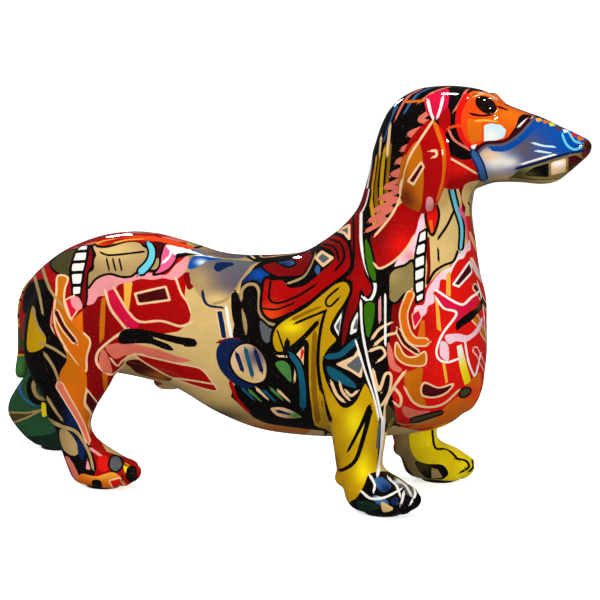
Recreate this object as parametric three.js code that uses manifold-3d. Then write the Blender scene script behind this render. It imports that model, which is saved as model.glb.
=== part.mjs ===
// A slip-cast dachshund figurine, standing, nose towards +X, in millimetres with +Z up.
// The castings are the ones a potter makes in separate plaster moulds and joins with slip:
// a hollow body with its neck and a vent hole in the belly, a hollow head, two ears, four solid legs and
// a tail. Glass eyes sit in sockets, and a felt pad is glued under each paw.
import * as THREE from "three";
import { ParametricGeometry } from "three/addons/geometries/ParametricGeometry.js";
import { mergeVertices } from "three/addons/utils/BufferGeometryUtils.js";
import Module from "manifold-3d";

const wasm = await Module();
wasm.setup();

// Driving dimensions.
const WALL = 4; // thickness of the cast wall
const GAP = 0.3; // slip or glue line between two castings
const NECK_JOINT_Z = 146; // height of the seam between the body and the head
const SOLE_Z = 2; // height of the bottom of each paw
const PAD_THICKNESS = SOLE_Z - GAP;
const TURNOUT = 10; // degrees that the front paws point outwards
const LEFT_FORELEG_STRIDE = 10.5; // how far the left foreleg stands ahead of the right
const EYE = { x: 90, y: 10, z: 182.6, radius: 5 };
const VENT = { x: -12, radius: 3 }; // lets air out of the hollow body in the kiln

// Each form is a stack of rounded sections. "x" stacks run from rump to nose, and "z" stacks from the top down.
// A station is [place along the stack, low and high edge across it, right and left edge].
const TORSO = [
  [-145, 78, 78, 0, 0],
  [-143.5, 66, 89, -12, 12],
  [-139, 57, 97.5, -20, 20],
  [-130, 52, 105.5, -27, 27],
  [-118, 50.5, 113, -31.5, 31.5],
  [-100, 51, 119.2, -33.5, 33.5],
  [-80, 49, 120.8, -32.5, 32.5],
  [-60, 44.5, 117.2, -30.5, 30.5],
  [-40, 34.5, 112.2, -30.5, 30.5],
  [-20, 28, 111.8, -32, 32],
  [0, 26.3, 114, -34.5, 34.5],
  [20, 26.8, 119, -36.5, 36.5],
  [40, 28.5, 120, -37, 37],
  [58, 31, 116, -35, 35],
  [72, 35.5, 108, -30, 30],
  [81, 42.5, 100, -23.5, 23.5],
  [86.5, 51.5, 92, -16, 16],
  [89.5, 62, 84, -8, 8],
  [90.5, 73, 73, 0, 0],
];
const NECK = [
  [182, 60, 60, 0, 0],
  [179, 48, 74, -13, 13],
  [174, 41, 79, -18, 18],
  [165, 36.8, 82, -20.5, 20.5],
  [156, 35.3, 83, -21.5, 21.5],
  [146, 32.8, 83.2, -22.5, 22.5],
  [136, 29.3, 82, -24, 24],
  [127.5, 21.8, 83, -26.5, 26.5],
  [121.6, 14.2, 84, -28.5, 28.5],
  [114, 3, 85, -32, 32],
  [106, -2, 86.5, -34, 34],
  [92, 2, 90, -34.5, 34.5],
  [74, 16, 88, -30, 30],
  [58, 40, 78, -18, 18],
  [50, 58, 58, 0, 0],
];
const HEAD = [
  [38, 170, 170, 0, 0],
  [39.5, 163, 175, -7, 7],
  [44, 155, 181.2, -14, 14],
  [50, 148, 187.3, -19, 19],
  [58, 144, 191.2, -22, 22],
  [68, 143, 192.7, -23, 23],
  [78, 143.3, 192.3, -21.5, 21.5],
  [86, 146.5, 190.8, -19, 19],
  [92, 149, 188, -16.8, 16.8],
  [98, 149.5, 184.2, -14.8, 14.8],
  [106, 149.5, 181.2, -13, 13],
  [114, 148.9, 178.5, -11.5, 11.5],
  [121, 150.3, 175.2, -10.2, 10.2],
  [127, 155, 172.6, -8.8, 8.8],
  [132, 159.6, 170.2, -6.8, 6.8],
  [135, 162.5, 168.8, -4.5, 4.5],
  [136.5, 166, 166, 0, 0],
];
const EAR = [
  [182, 68, 68, 19, 19],
  [179.5, 64, 72, 15, 21],
  [173, 61, 74.5, 16, 24],
  [164.5, 58.3, 75.9, 18, 27],
  [156, 56.3, 76.3, 18.5, 28],
  [148.5, 55.6, 75.2, 19, 27.5],
  [142, 57.5, 72.4, 20, 26.5],
  [138.3, 61, 69, 21, 24.5],
  [137, 65, 65, 22.5, 22.5],
];
const FORELEG = [
  [88, 40, 40, 25, 25],
  [84, 29, 52, 17, 34],
  [72, 19, 60, 14, 39],
  [58, 20, 60.5, 15, 41.5],
  [46, 23.5, 57, 17.5, 42],
  [38, 25.8, 53.3, 19.5, 41.5],
  [30, 27.3, 51.5, 20.5, 40.5],
  [22, 28.6, 50.5, 21, 40],
  [18.5, 29.5, 53.5, 21, 40.5],
  [15, 31.5, 61.5, 20, 42],
  [11, 33, 66.5, 18.5, 43.5],
  [7, 34, 68, 18, 43.5],
  [4, 35.5, 66.5, 19, 42.5],
  [SOLE_Z, 39, 62, 21.5, 40.5],
];
const HINDLEG_BENT = [
  [102, -110, -110, 22, 22],
  [97, -123, -98, 10, 33.5],
  [86, -130.5, -86, 8, 38],
  [72, -133.5, -82, 10, 39.5],
  [60, -132.5, -83, 13, 39.5],
  [52, -129, -86, 16, 38.5],
  [44, -123.5, -91, 18.5, 37.5],
  [38, -120, -94.7, 20, 36.5],
  [30, -117, -97.7, 21, 36],
  [23, -114.5, -95.5, 21, 36.5],
  [17, -112, -86, 20, 39],
  [12, -109.5, -76.8, 18, 42],
  [7, -107, -73.8, 17.5, 43],
  [4, -105.5, -74.8, 18.5, 42],
  [SOLE_Z, -102, -79, 21, 39.5],
];
const HINDLEG_STRETCHED = [
  [102, -112, -112, 22, 22],
  [97, -125, -98, 10, 33.5],
  [86, -134, -88, 8, 38],
  [72, -142, -90, 10, 39],
  [60, -149, -98, 13, 39],
  [50, -155.5, -108, 16, 38],
  [40, -162.5, -120, 18.5, 37.5],
  [32, -168.5, -130, 20, 37],
  [25, -172.8, -138, 20.5, 37],
  [18, -174, -140, 21, 38.5],
  [12, -171, -136, 21, 41.5],
  [7, -166.5, -133, 21, 43],
  [4, -162.5, -133, 22, 42],
  [SOLE_Z, -158, -137, 24, 40],
];
const TAIL = [
  [101, -133, -133, 0, 0],
  [98, -140, -127, -5, 5],
  [91, -146.5, -131, -6.8, 6.8],
  [81, -150.3, -137, -6.4, 6.4],
  [69, -150.7, -140, -5.4, 5.4],
  [57, -151.3, -143.3, -4.4, 4.4],
  [49, -153, -146.3, -3.8, 3.8],
  [44.5, -152.8, -147, -3.2, 3.2],
  [43, -150, -150, 0, 0],
];
// Where each pad's centre is, [x, y].
const PADS = {
  right_fore_pad: [50.5, -32.5],
  left_fore_pad: [50.5 + LEFT_FORELEG_STRIDE, 32.5],
  right_hind_pad: [-90.5, -30.2],
  left_hind_pad: [-147.5, 32],
};
const PAD_RADII = [8.5, 7];

// A closed mesh as a solid: shared vertices merged and triangles that collapsed to a line left out.
function solid(geometry) {
  const bare = geometry.clone();
  bare.deleteAttribute("normal");
  bare.deleteAttribute("uv");
  const merged = mergeVertices(bare, 1e-3);
  const corners = [];
  for (let i = 0; i < merged.index.count; i += 3) {
    const [a, b, c] = [0, 1, 2].map((k) => merged.index.getX(i + k));
    if (a !== b && b !== c && c !== a) corners.push(a, b, c);
  }
  const made = new wasm.Manifold(
    new wasm.Mesh({
      numProp: 3,
      vertProperties: merged.attributes.position.array,
      triVerts: new Uint32Array(corners),
    }),
  );
  if (made.volume() >= 0) return made;
  for (let i = 0; i < corners.length; i += 3) {
    [corners[i], corners[i + 1]] = [corners[i + 1], corners[i]];
  }
  return new wasm.Manifold(
    new wasm.Mesh({
      numProp: 3,
      vertProperties: merged.attributes.position.array,
      triVerts: new Uint32Array(corners),
    }),
  );
}

// The rounded form through a stack of stations. power is 2 for an oval section and more for a boxier one.
function loft(along, stations, { around = 20, steps = 22, power = 2.1 } = {}) {
  const spread = stations.map(([at, low, high]) => new THREE.Vector3(at, low, high));
  const sides = stations.map(([, , , right, left]) => new THREE.Vector2(right, left));
  const edges = new THREE.CatmullRomCurve3(spread, false, "catmullrom", 0.5);
  const widths = new THREE.SplineCurve(sides);
  const onSection = (u, v, target) => {
    const { x: at, y: low, z: high } = edges.getPoint(v);
    const { x: right, y: left } = widths.getPoint(v);
    const angle = 2 * Math.PI * u;
    const round = (t) => Math.sign(t) * Math.abs(t) ** (2 / power);
    const isPole = v <= 0 || v >= 1;
    const across = isPole ? 0 : round(Math.cos(angle));
    const up = isPole ? 0 : round(Math.sin(angle));
    const a = (high + low) / 2 + (up * (high - low)) / 2;
    const y = (left + right) / 2 + (across * (left - right)) / 2;
    if (along === "x") target.set(at, y, a);
    else target.set(a, y, at);
  };
  return solid(new ParametricGeometry(onSection, around, steps));
}

// A stack's middle line at a station, moved along the stack: the point where its form closes.
function pole([at, low, high, right, left], along) {
  return [at + along, (low + high) / 2, (low + high) / 2, (right + left) / 2, (right + left) / 2];
}

// The same stack grown outwards by a distance, or shrunk by it when it is negative. Shrinking leaves out
// the stations that become too thin, and closes the form a wall's thickness beyond the last one kept.
function grown(stations, by) {
  const outwards = Math.sign(stations[0][0] - stations.at(-1)[0]);
  const moved = stations
    .slice(1, -1)
    .map(([at, low, high, right, left]) => [at, low - by, high + by, right - by, left + by])
    .filter(([, low, high, right, left]) => Math.min(high - low, left - right) > 2 * WALL);
  if (by > 0) return [pole(stations[0], outwards * by), ...moved, pole(stations.at(-1), -outwards * by)];
  return [pole(moved[0], outwards * WALL), ...moved, pole(moved.at(-1), -outwards * WALL)];
}

function block(low, high) {
  const size = new THREE.Vector3(...high).sub(new THREE.Vector3(...low));
  const box = new THREE.BoxGeometry(size.x, size.y, size.z);
  return solid(box.translate(low[0] + size.x / 2, low[1] + size.y / 2, low[2] + size.z / 2));
}

function upright(radius, bottom, top, [x, y], [scaleX, scaleY] = [1, 1]) {
  const rod = new THREE.CylinderGeometry(radius, radius, top - bottom, 32).rotateX(Math.PI / 2);
  return solid(rod.scale(scaleX, scaleY, 1).translate(x, y, (top + bottom) / 2));
}

function ball(radius, [x, y, z], turns = 16) {
  return solid(new THREE.SphereGeometry(radius, turns, turns / 2).translate(x, y, z));
}

function mirrored(stations, stride = 0, side = -1) {
  return stations.map(([z, back, front, inner, outer]) =>
    side < 0
      ? [z, back + stride, front + stride, -outer, -inner]
      : [z, back + stride, front + stride, inner, outer],
  );
}

// A leg is a stack whose last station is its flat sole, so the stack is closed below it and cut there.
// The leg turns about its own upright axis, so that its toes point outwards.
function leg(stations, { side, stride = 0, turnout = 0 }) {
  const [, back, front, inner, outer] = stations.at(-1);
  const below = [SOLE_Z - 2, (back + front) / 2, (back + front) / 2, (inner + outer) / 2, (inner + outer) / 2];
  const form = loft("z", mirrored([...stations, below], stride, side), { around: 18, steps: 22 });
  const [, low, high, near, far] = stations[0];
  const axis = new THREE.Matrix4().makeTranslation((low + high) / 2 + stride, (side * (near + far)) / 2, 0);
  const turn = new THREE.Matrix4().makeRotationZ(THREE.MathUtils.degToRad(side * turnout));
  const turned = axis.clone().multiply(turn).multiply(axis.clone().invert());
  return form.transform(turned.elements).subtract(block([-250, -100, -50], [250, 100, SOLE_Z]));
}

function largest(form) {
  return form.decompose().sort((a, b) => b.volume() - a.volume())[0];
}

const ABOVE_JOINT = block([-50, -60, NECK_JOINT_Z - GAP / 2], [200, 60, 250]);
const BELOW_JOINT = block([-50, -60, 0], [200, 60, NECK_JOINT_Z + GAP / 2]);
const torsoSkin = loft("x", TORSO, { around: 28, steps: 30 });
const neckSkin = loft("z", NECK, { around: 28, steps: 20 });
const headSkin = loft("x", HEAD, { around: 24, steps: 26, power: 2.4 });
const trunkWithGap = loft("x", grown(TORSO, GAP), { around: 28, steps: 30 })
  .add(loft("z", grown(NECK, GAP), { around: 28, steps: 20 }));
const headWithGap = loft("x", grown(HEAD, GAP), { around: 24, steps: 26, power: 2.4 });
const headHollow = loft("x", grown(HEAD, -WALL), { around: 12, steps: 12, power: 2.4 });
const cavity = loft("x", grown(TORSO, -WALL), { around: 16, steps: 14 })
  .add(loft("z", grown(NECK, -WALL), { around: 16, steps: 12 }))
  .add(headHollow);

function bodyCasting() {
  const vent = upright(VENT.radius, 10, 60, [VENT.x, 0]);
  return largest(torsoSkin.add(neckSkin).subtract(cavity).subtract(vent).subtract(ABOVE_JOINT));
}

function headCasting() {
  const sockets = [-1, 1].map((side) => ball(EYE.radius + GAP, [EYE.x, side * EYE.y, EYE.z]));
  const skin = headSkin.add(neckSkin).subtract(cavity).subtract(BELOW_JOINT);
  return largest(skin.subtract(sockets[0]).subtract(sockets[1]));
}

function ear(side) {
  return largest(
    loft("z", mirrored(EAR, 0, side), { around: 14, steps: 14 }).subtract(headWithGap).subtract(trunkWithGap),
  );
}

function eye(side) {
  const bead = ball(EYE.radius, [EYE.x, side * EYE.y, EYE.z]);
  return largest(bead.subtract(headHollow));
}

function tail() {
  return largest(loft("z", TAIL, { around: 12, steps: 16 }).subtract(trunkWithGap));
}

const FINISH = {
  printed_glaze: new THREE.MeshStandardMaterial({ color: 0xb8231a, roughness: 0.15, metalness: 0 }),
  eye_glass: new THREE.MeshStandardMaterial({ color: 0x0b0807, roughness: 0.05, metalness: 0 }),
  pad_felt: new THREE.MeshStandardMaterial({ color: 0x171412, roughness: 0.95, metalness: 0 }),
};

const figurine = new THREE.Group();
function place(name, form, finish) {
  const { numProp, vertProperties, triVerts } = form.getMesh();
  const geometry = new THREE.BufferGeometry();
  geometry.setAttribute("position", new THREE.BufferAttribute(vertProperties, numProp));
  geometry.setIndex(new THREE.BufferAttribute(triVerts, 1));
  geometry.computeVertexNormals();
  const mesh = new THREE.Mesh(geometry, FINISH[finish]);
  mesh.name = name;
  figurine.add(mesh);
}

const SIDES = { right: -1, left: 1 };
place("body_casting", bodyCasting(), "printed_glaze");
place("head_casting", headCasting(), "printed_glaze");
for (const [side, sign] of Object.entries(SIDES)) {
  place(`${side}_ear`, ear(sign), "printed_glaze");
  place(`${side}_eye`, eye(sign), "eye_glass");
}
const LEGS = {
  right_foreleg: leg(FORELEG, { side: SIDES.right, turnout: TURNOUT }),
  left_foreleg: leg(FORELEG, { side: SIDES.left, turnout: TURNOUT, stride: LEFT_FORELEG_STRIDE }),
  right_hindleg: leg(HINDLEG_BENT, { side: SIDES.right }),
  left_hindleg: leg(HINDLEG_STRETCHED, { side: SIDES.left }),
};
for (const [name, form] of Object.entries(LEGS)) {
  place(name, largest(form.subtract(trunkWithGap)), "printed_glaze");
}
place("tail", tail(), "printed_glaze");
for (const [name, centre] of Object.entries(PADS)) {
  place(name, upright(1, 0, PAD_THICKNESS, centre, PAD_RADII), "pad_felt");
}

// The figurine stands on the origin: its box is centred over it.
const size = new THREE.Box3().setFromObject(figurine);
const centre = size.getCenter(new THREE.Vector3());
figurine.position.set(-centre.x, -centre.y, 0);

export default figurine;
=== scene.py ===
"""A slip-cast dachshund figurine: castings luted into one smooth skin, an all-over printed film under a
clear lacquer, inset glass eyes and felt pads. Lengths are in millimetres until a mesh is made, in metres."""

import logging
import math
from dataclasses import dataclass, field
from enum import Enum

import bpy
import numpy as np
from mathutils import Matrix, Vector


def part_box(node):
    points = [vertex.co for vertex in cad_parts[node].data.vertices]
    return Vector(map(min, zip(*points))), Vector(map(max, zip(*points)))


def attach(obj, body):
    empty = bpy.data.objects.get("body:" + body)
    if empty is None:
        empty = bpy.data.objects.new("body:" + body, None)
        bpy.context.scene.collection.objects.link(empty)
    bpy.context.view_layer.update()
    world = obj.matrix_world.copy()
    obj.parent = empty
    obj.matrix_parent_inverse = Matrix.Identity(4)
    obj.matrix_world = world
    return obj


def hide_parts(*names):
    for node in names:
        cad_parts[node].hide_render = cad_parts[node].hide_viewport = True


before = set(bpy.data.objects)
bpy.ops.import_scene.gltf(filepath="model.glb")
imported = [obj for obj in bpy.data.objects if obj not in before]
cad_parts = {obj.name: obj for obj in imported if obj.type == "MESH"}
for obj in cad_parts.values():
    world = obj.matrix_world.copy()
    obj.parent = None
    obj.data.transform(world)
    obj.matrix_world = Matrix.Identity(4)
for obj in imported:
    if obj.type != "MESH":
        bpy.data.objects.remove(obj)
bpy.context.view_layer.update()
LOG = logging.getLogger("figurine")

MM = 0.001
NOSE_X = 136.5
NECK_JOINT_Z = 146.0
SOLE_Z = 2.0
BELLY_Z = 45.0
WALL = 5.0
TURNOUT = 10.0
STRIDE = 10.5
RIGHT, LEFT = -1, 1
MIDDLE_Z = 91.0
AZIMUTH, ELEVATION, DISTANCE = 18.5, 8.5, 750.0
STACK = 4
FAR = 99.0
NOWHERE = -9.0
TINY = 1e-9
SHIFT_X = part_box("head_casting")[1].x / MM - NOSE_X
Point = tuple[float, float]
Faces = list[tuple[int, ...]]


def catmull_rom(points: np.ndarray, count: int) -> np.ndarray:
    """Samples the smooth curve that runs through a list of points.

    Args:
        points: One row per point, at even steps along the curve.
        count: How many samples to take.

    Returns:
        One row per sample, from the first point to the last.
    """
    padded = np.vstack([points[:1], points, points[-1:]])
    at = np.linspace(0, len(points) - 1, count)
    i = np.minimum(at.astype(int), len(points) - 2)
    t = (at - i)[:, None]
    a, b, c, d = (padded[i + k] for k in range(4))
    return 0.5 * (2 * b + (c - a) * t + (2 * a - 5 * b + 4 * c - d) * t**2 + (3 * b - a - 3 * c + d) * t**3)


def smoothstep(low: float, high: float, value: np.ndarray) -> np.ndarray:
    """Returns 0 below low, 1 above high, and a soft ramp between them."""
    t = np.clip((value - low) / (high - low), 0, 1)
    return t * t * (3 - 2 * t)


def bearing(azimuth: float, elevation: float) -> np.ndarray:
    """The direction from the dog towards a viewer, from degrees round and degrees up."""
    a, e = math.radians(azimuth), math.radians(elevation)
    return np.array([math.sin(a) * math.cos(e), -math.cos(a) * math.cos(e), math.sin(e)])


def lathe_faces(rings: int, around: int, flip: bool = False) -> Faces:
    """Joins rings of points between two poles; the first pole comes before them and the last one after.

    Args:
        rings: How many rings there are.
        around: Points round each ring.
        flip: Whether the faces look the other way.

    Returns:
        The faces as tuples of point numbers.
    """
    faces = []
    end, last = 1 + (rings - 1) * around, 1 + rings * around
    for k in range(around):
        n = (k + 1) % around
        faces.append((0, 1 + n, 1 + k))
        for a in range(1, end, around):
            faces.append((a + k, a + n, a + around + n, a + around + k))
        faces.append((last, end + k, end + n))
    return [(face[0], *face[:0:-1]) for face in faces] if flip else faces


class Along(Enum):
    """The way a stack of sections runs."""

    LENGTH = "x"
    HEIGHT = "z"


@dataclass(frozen=True)
class Form:
    """A rounded body made by a stack of oval sections.

    A station is (place along the stack, low and high edge, right and left edge). melt is how far the
    clay is smoothed where this form joins another, and turn is in degrees about the upright pivot.
    """

    name: str
    along: Along
    stations: tuple[tuple[float, ...], ...]
    power: float = 2.1
    melt: float = 10.0
    turn: float = 0.0
    pivot: Point = (0.0, 0.0)

    def turned(self, points: np.ndarray, way: int) -> np.ndarray:
        """Turns points about the form's upright pivot, forwards for way 1 and back for way -1."""
        angle = math.radians(self.turn) * way
        c, s = math.cos(angle), math.sin(angle)
        x, y = points[:, 0] - self.pivot[0], points[:, 1] - self.pivot[1]
        out = points.copy()
        out[:, 0] = self.pivot[0] + c * x - s * y
        out[:, 1] = self.pivot[1] + s * x + c * y
        return out

    def mesh(self, around: int = 72, steps: int = 110) -> tuple[np.ndarray, Faces]:
        """Builds the closed surface of the form.

        Args:
            around: Points round each section.
            steps: Sections along the stack.

        Returns:
            The points, and the faces as tuples of point numbers.
        """
        rows = catmull_rom(np.array(self.stations, float), steps)
        angle = np.linspace(0, 2 * np.pi, around, endpoint=False)
        across = np.sign(np.cos(angle)) * np.abs(np.cos(angle)) ** (2 / self.power)
        up = np.sign(np.sin(angle)) * np.abs(np.sin(angle)) ** (2 / self.power)
        rings = []
        for at, low, high, right, left in rows[1:-1]:
            a = (low + high) / 2 + up * (high - low) / 2
            y = (left + right) / 2 + across * (left - right) / 2
            rings.append(np.column_stack([np.full(around, at), y, a]))
        poles = [[at, (right + left) / 2, (low + high) / 2] for at, low, high, right, left in rows[[0, -1]]]
        points = np.vstack([*rings, poles])
        if self.along is Along.HEIGHT:
            points = points[:, [2, 1, 0]]
        faces = []
        for r in range(len(rings) - 1):
            for k in range(around):
                n = (k + 1) % around
                faces.append((r * around + k, r * around + n, (r + 1) * around + n, (r + 1) * around + k))
        first, last, end = len(points) - 2, len(points) - 1, (len(rings) - 1) * around
        for k in range(around):
            n = (k + 1) % around
            faces.append((first, n, k))
            faces.append((last, end + k, end + n))
        return self.turned(points, 1), faces

    def depth(self, points: np.ndarray) -> np.ndarray:
        """Measures roughly how far points lie outside the form.

        Args:
            points: One row per point.

        Returns:
            A distance per point, below zero inside the form.
        """
        local = self.turned(points, -1)
        if self.along is Along.HEIGHT:
            local = local[:, [2, 1, 0]]
        rows = catmull_rom(np.array(self.stations, float), 240)
        rows = rows[np.argsort(rows[:, 0])]
        at = local[:, 0]
        low, high, right, left = (np.interp(at, rows[:, 0], rows[:, k]) for k in (1, 2, 3, 4))
        tall, wide = np.maximum((high - low) / 2, 1), np.maximum((left - right) / 2, 1)
        a = np.abs(local[:, 2] - (low + high) / 2) / tall
        b = np.abs(local[:, 1] - (left + right) / 2) / wide
        reach = (a**self.power + b**self.power) ** (1 / self.power)
        beyond = np.maximum(rows[0, 0] - at, at - rows[-1, 0])
        return np.maximum((reach - 1) * np.minimum(tall, wide), beyond)


@dataclass(frozen=True)
class Lump:
    """An oval lump of clay pressed onto the forms, such as a toe."""

    centre: tuple[float, float, float]
    radii: tuple[float, float, float]
    yaw: float = 0.0
    pitch: float = 0.0

    def mesh(self, around: int = 24, steps: int = 14) -> tuple[np.ndarray, Faces]:
        """Builds the closed surface of the lump.

        Args:
            around: Points round each section.
            steps: Sections from end to end.

        Returns:
            The points, and the faces as tuples of point numbers.
        """
        stations = []
        for t in np.linspace(0, math.pi, steps):
            stations.append((-math.cos(t), -math.sin(t), math.sin(t), -math.sin(t), math.sin(t)))
        points, faces = Form("lump", Along.LENGTH, tuple(stations), power=2.0).mesh(around, steps)
        points = points * np.array(self.radii)
        p, w = math.radians(self.pitch), math.radians(self.yaw)
        tip = np.array([[math.cos(p), 0, math.sin(p)], [0, 1, 0], [-math.sin(p), 0, math.cos(p)]])
        swing = np.array([[math.cos(w), math.sin(w), 0], [-math.sin(w), math.cos(w), 0], [0, 0, 1]])
        return points @ tip @ swing + np.array(self.centre), faces

    def mirrored(self) -> "Lump":
        """The same lump on the dog's other side."""
        x, y, z = self.centre
        return Lump((x, -y, z), self.radii, -self.yaw, self.pitch)


@dataclass(frozen=True)
class Crease:
    """A line pressed into the clay, or raised where its depth is below zero."""

    points: tuple[tuple[float, float, float], ...]
    width: float
    depth: float
    both_sides: bool = True

    def press(self, where: np.ndarray, normals: np.ndarray) -> np.ndarray:
        """Moves the points near the line along their normals.

        Args:
            where: The skin's points.
            normals: The skin's normals.

        Returns:
            The moved points.
        """
        out = where.copy()
        for side in (1, -1) if self.both_sides else (1,):
            line = np.array(self.points, float) * (1, side, 1)
            if len(line) > 2:
                line = catmull_rom(line, 4 * len(line))
            reach = 3 * self.width
            near = np.all((where > line.min(0) - reach) & (where < line.max(0) + reach), axis=1)
            if not near.any():
                continue
            spot = where[near]
            best = np.full(len(spot), np.inf)
            for p, q in zip(line[:-1], line[1:]) if len(line) > 1 else [(line[0], line[0])]:
                d = q - p
                t = np.clip(((spot - p) @ d) / max(d @ d, TINY), 0, 1)[:, None]
                best = np.minimum(best, np.linalg.norm(spot - (p + t * d), axis=1))
            push = self.depth * np.exp(-((best / self.width) ** 2))
            out[near] -= normals[near] * push[:, None]
        return out


@dataclass
class Skin:
    """The fused surface of all the castings, as triangles.

    normal is kept from before the skin is cut, and parents gives the triangle that each one was cut from.
    """

    points: np.ndarray
    faces: np.ndarray
    normal: np.ndarray | None = None
    parents: np.ndarray | None = None

    def normals(self) -> np.ndarray:
        """The area-weighted normal of each point."""
        a, b, c = (self.points[self.faces[:, k]] for k in range(3))
        flat = np.cross(b - a, c - a)
        out = np.zeros_like(self.points)
        for axis in range(3):
            for k in range(3):
                out[:, axis] += np.bincount(self.faces[:, k], flat[:, axis], len(out))
        return out / np.maximum(np.linalg.norm(out, axis=1), 1e-12)[:, None]

    def edges(self) -> np.ndarray:
        """The two ends of every triangle's every side."""
        return np.vstack([self.faces[:, [k, (k + 1) % 3]] for k in range(3)])

    def neighbours(self) -> tuple[np.ndarray, np.ndarray, np.ndarray]:
        """Lists each point's neighbours, one after another.

        Returns:
            The neighbours' numbers, where each point's run starts, and how long it is.
        """
        edges = self.edges()
        order = np.argsort(edges[:, 0], kind="stable")
        count = np.bincount(edges[:, 0], minlength=len(self.points))
        start = np.concatenate([[0], np.cumsum(count)[:-1]])
        return edges[order, 1], start, count

    def relax(self, value: np.ndarray, weight: np.ndarray, times: int) -> np.ndarray:
        """Averages a value with its neighbours again and again.

        Args:
            value: One row per point.
            weight: How strongly each point takes part, from 0 to 1.
            times: How often to repeat.

        Returns:
            The smoothed value.
        """
        near, start, count = self.neighbours()
        flat = value.reshape(len(value), -1).astype(float)
        share = np.clip(weight, 0, 1)[:, None] * 0.5
        for _ in range(times):
            mean = np.add.reduceat(flat[near], start, axis=0) / count[:, None]
            flat += share * (mean - flat)
        return flat.reshape(value.shape)

    def split(self, level: np.ndarray) -> np.ndarray:
        """Cuts the triangles along the line where a value is zero.

        Args:
            level: The value on each point.

        Returns:
            For each triangle, whether it lies below zero.
        """
        level = np.where(level == 0, TINY, level)
        below = level < 0
        edges = np.sort(self.edges(), axis=1)
        cut = np.unique(edges[below[edges[:, 0]] != below[edges[:, 1]]], axis=0)
        a, b = cut[:, 0], cut[:, 1]
        t = np.clip(level[a] / (level[a] - level[b]), 0.1, 0.9)
        base = len(self.points)
        key = {(int(p), int(q)): base + i for i, (p, q) in enumerate(cut)}
        added = self.points[a] + t[:, None] * (self.points[b] - self.points[a])
        self.points = np.vstack([self.points, added])
        between = self.normal[a] + t[:, None] * (self.normal[b] - self.normal[a])
        self.normal = np.vstack([self.normal, between / np.linalg.norm(between, axis=1)[:, None]])
        signs = below[self.faces]
        mixed = (signs.sum(1) == 1) | (signs.sum(1) == 2)
        made, side = [], []
        for face, sign in zip(self.faces[mixed].tolist(), signs[mixed].tolist()):
            lone = [k for k in range(3) if sign.count(sign[k]) == 1][0]
            p, q, r = face[lone], face[(lone + 1) % 3], face[(lone + 2) % 3]
            pq, pr = key[(min(p, q), max(p, q))], key[(min(p, r), max(p, r))]
            made += [(p, pq, pr), (pq, q, r), (pq, r, pr)]
            side += [sign[lone], not sign[lone], not sign[lone]]
        kept = self.faces[~mixed]
        self.faces = np.vstack([kept, np.array(made, int).reshape(-1, 3)])
        self.parents = np.concatenate([np.flatnonzero(~mixed), np.repeat(np.flatnonzero(mixed), 3)])
        return np.concatenate([signs[~mixed].sum(1) == 3, np.array(side, bool)])


def even(rows: tuple) -> tuple:
    """Gives (place, low, high, half width) stations a right and a left edge."""
    return tuple((at, low, high, -half, half) for at, low, high, half in rows)


def leg_form(name: str, stations: tuple, side: int, stride: float = 0.0, turnout: float = 0.0) -> Form:
    """Makes a leg from (height, back, front, inner, outer) stations.

    Args:
        name: The casting's name.
        stations: The sections from the top down to the sole.
        side: RIGHT or LEFT.
        stride: How far the leg stands ahead.
        turnout: Degrees that the toes point outwards.

    Returns:
        The leg as a form whose last section closes just below the sole.
    """
    _, back, front, inner, outer = stations[-1]
    below = (SOLE_Z - 2, (back + front) / 2, (back + front) / 2, (inner + outer) / 2, (inner + outer) / 2)
    rows = []
    for z, b, f, i, o in (*stations, below):
        edges = (-o, -i) if side == RIGHT else (i, o)
        rows.append((z, b + stride, f + stride, *edges))
    top = stations[0]
    pivot = (top[1] + stride, side * top[3])
    return Form(name, Along.HEIGHT, tuple(rows), melt=9, turn=side * turnout, pivot=pivot)


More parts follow.
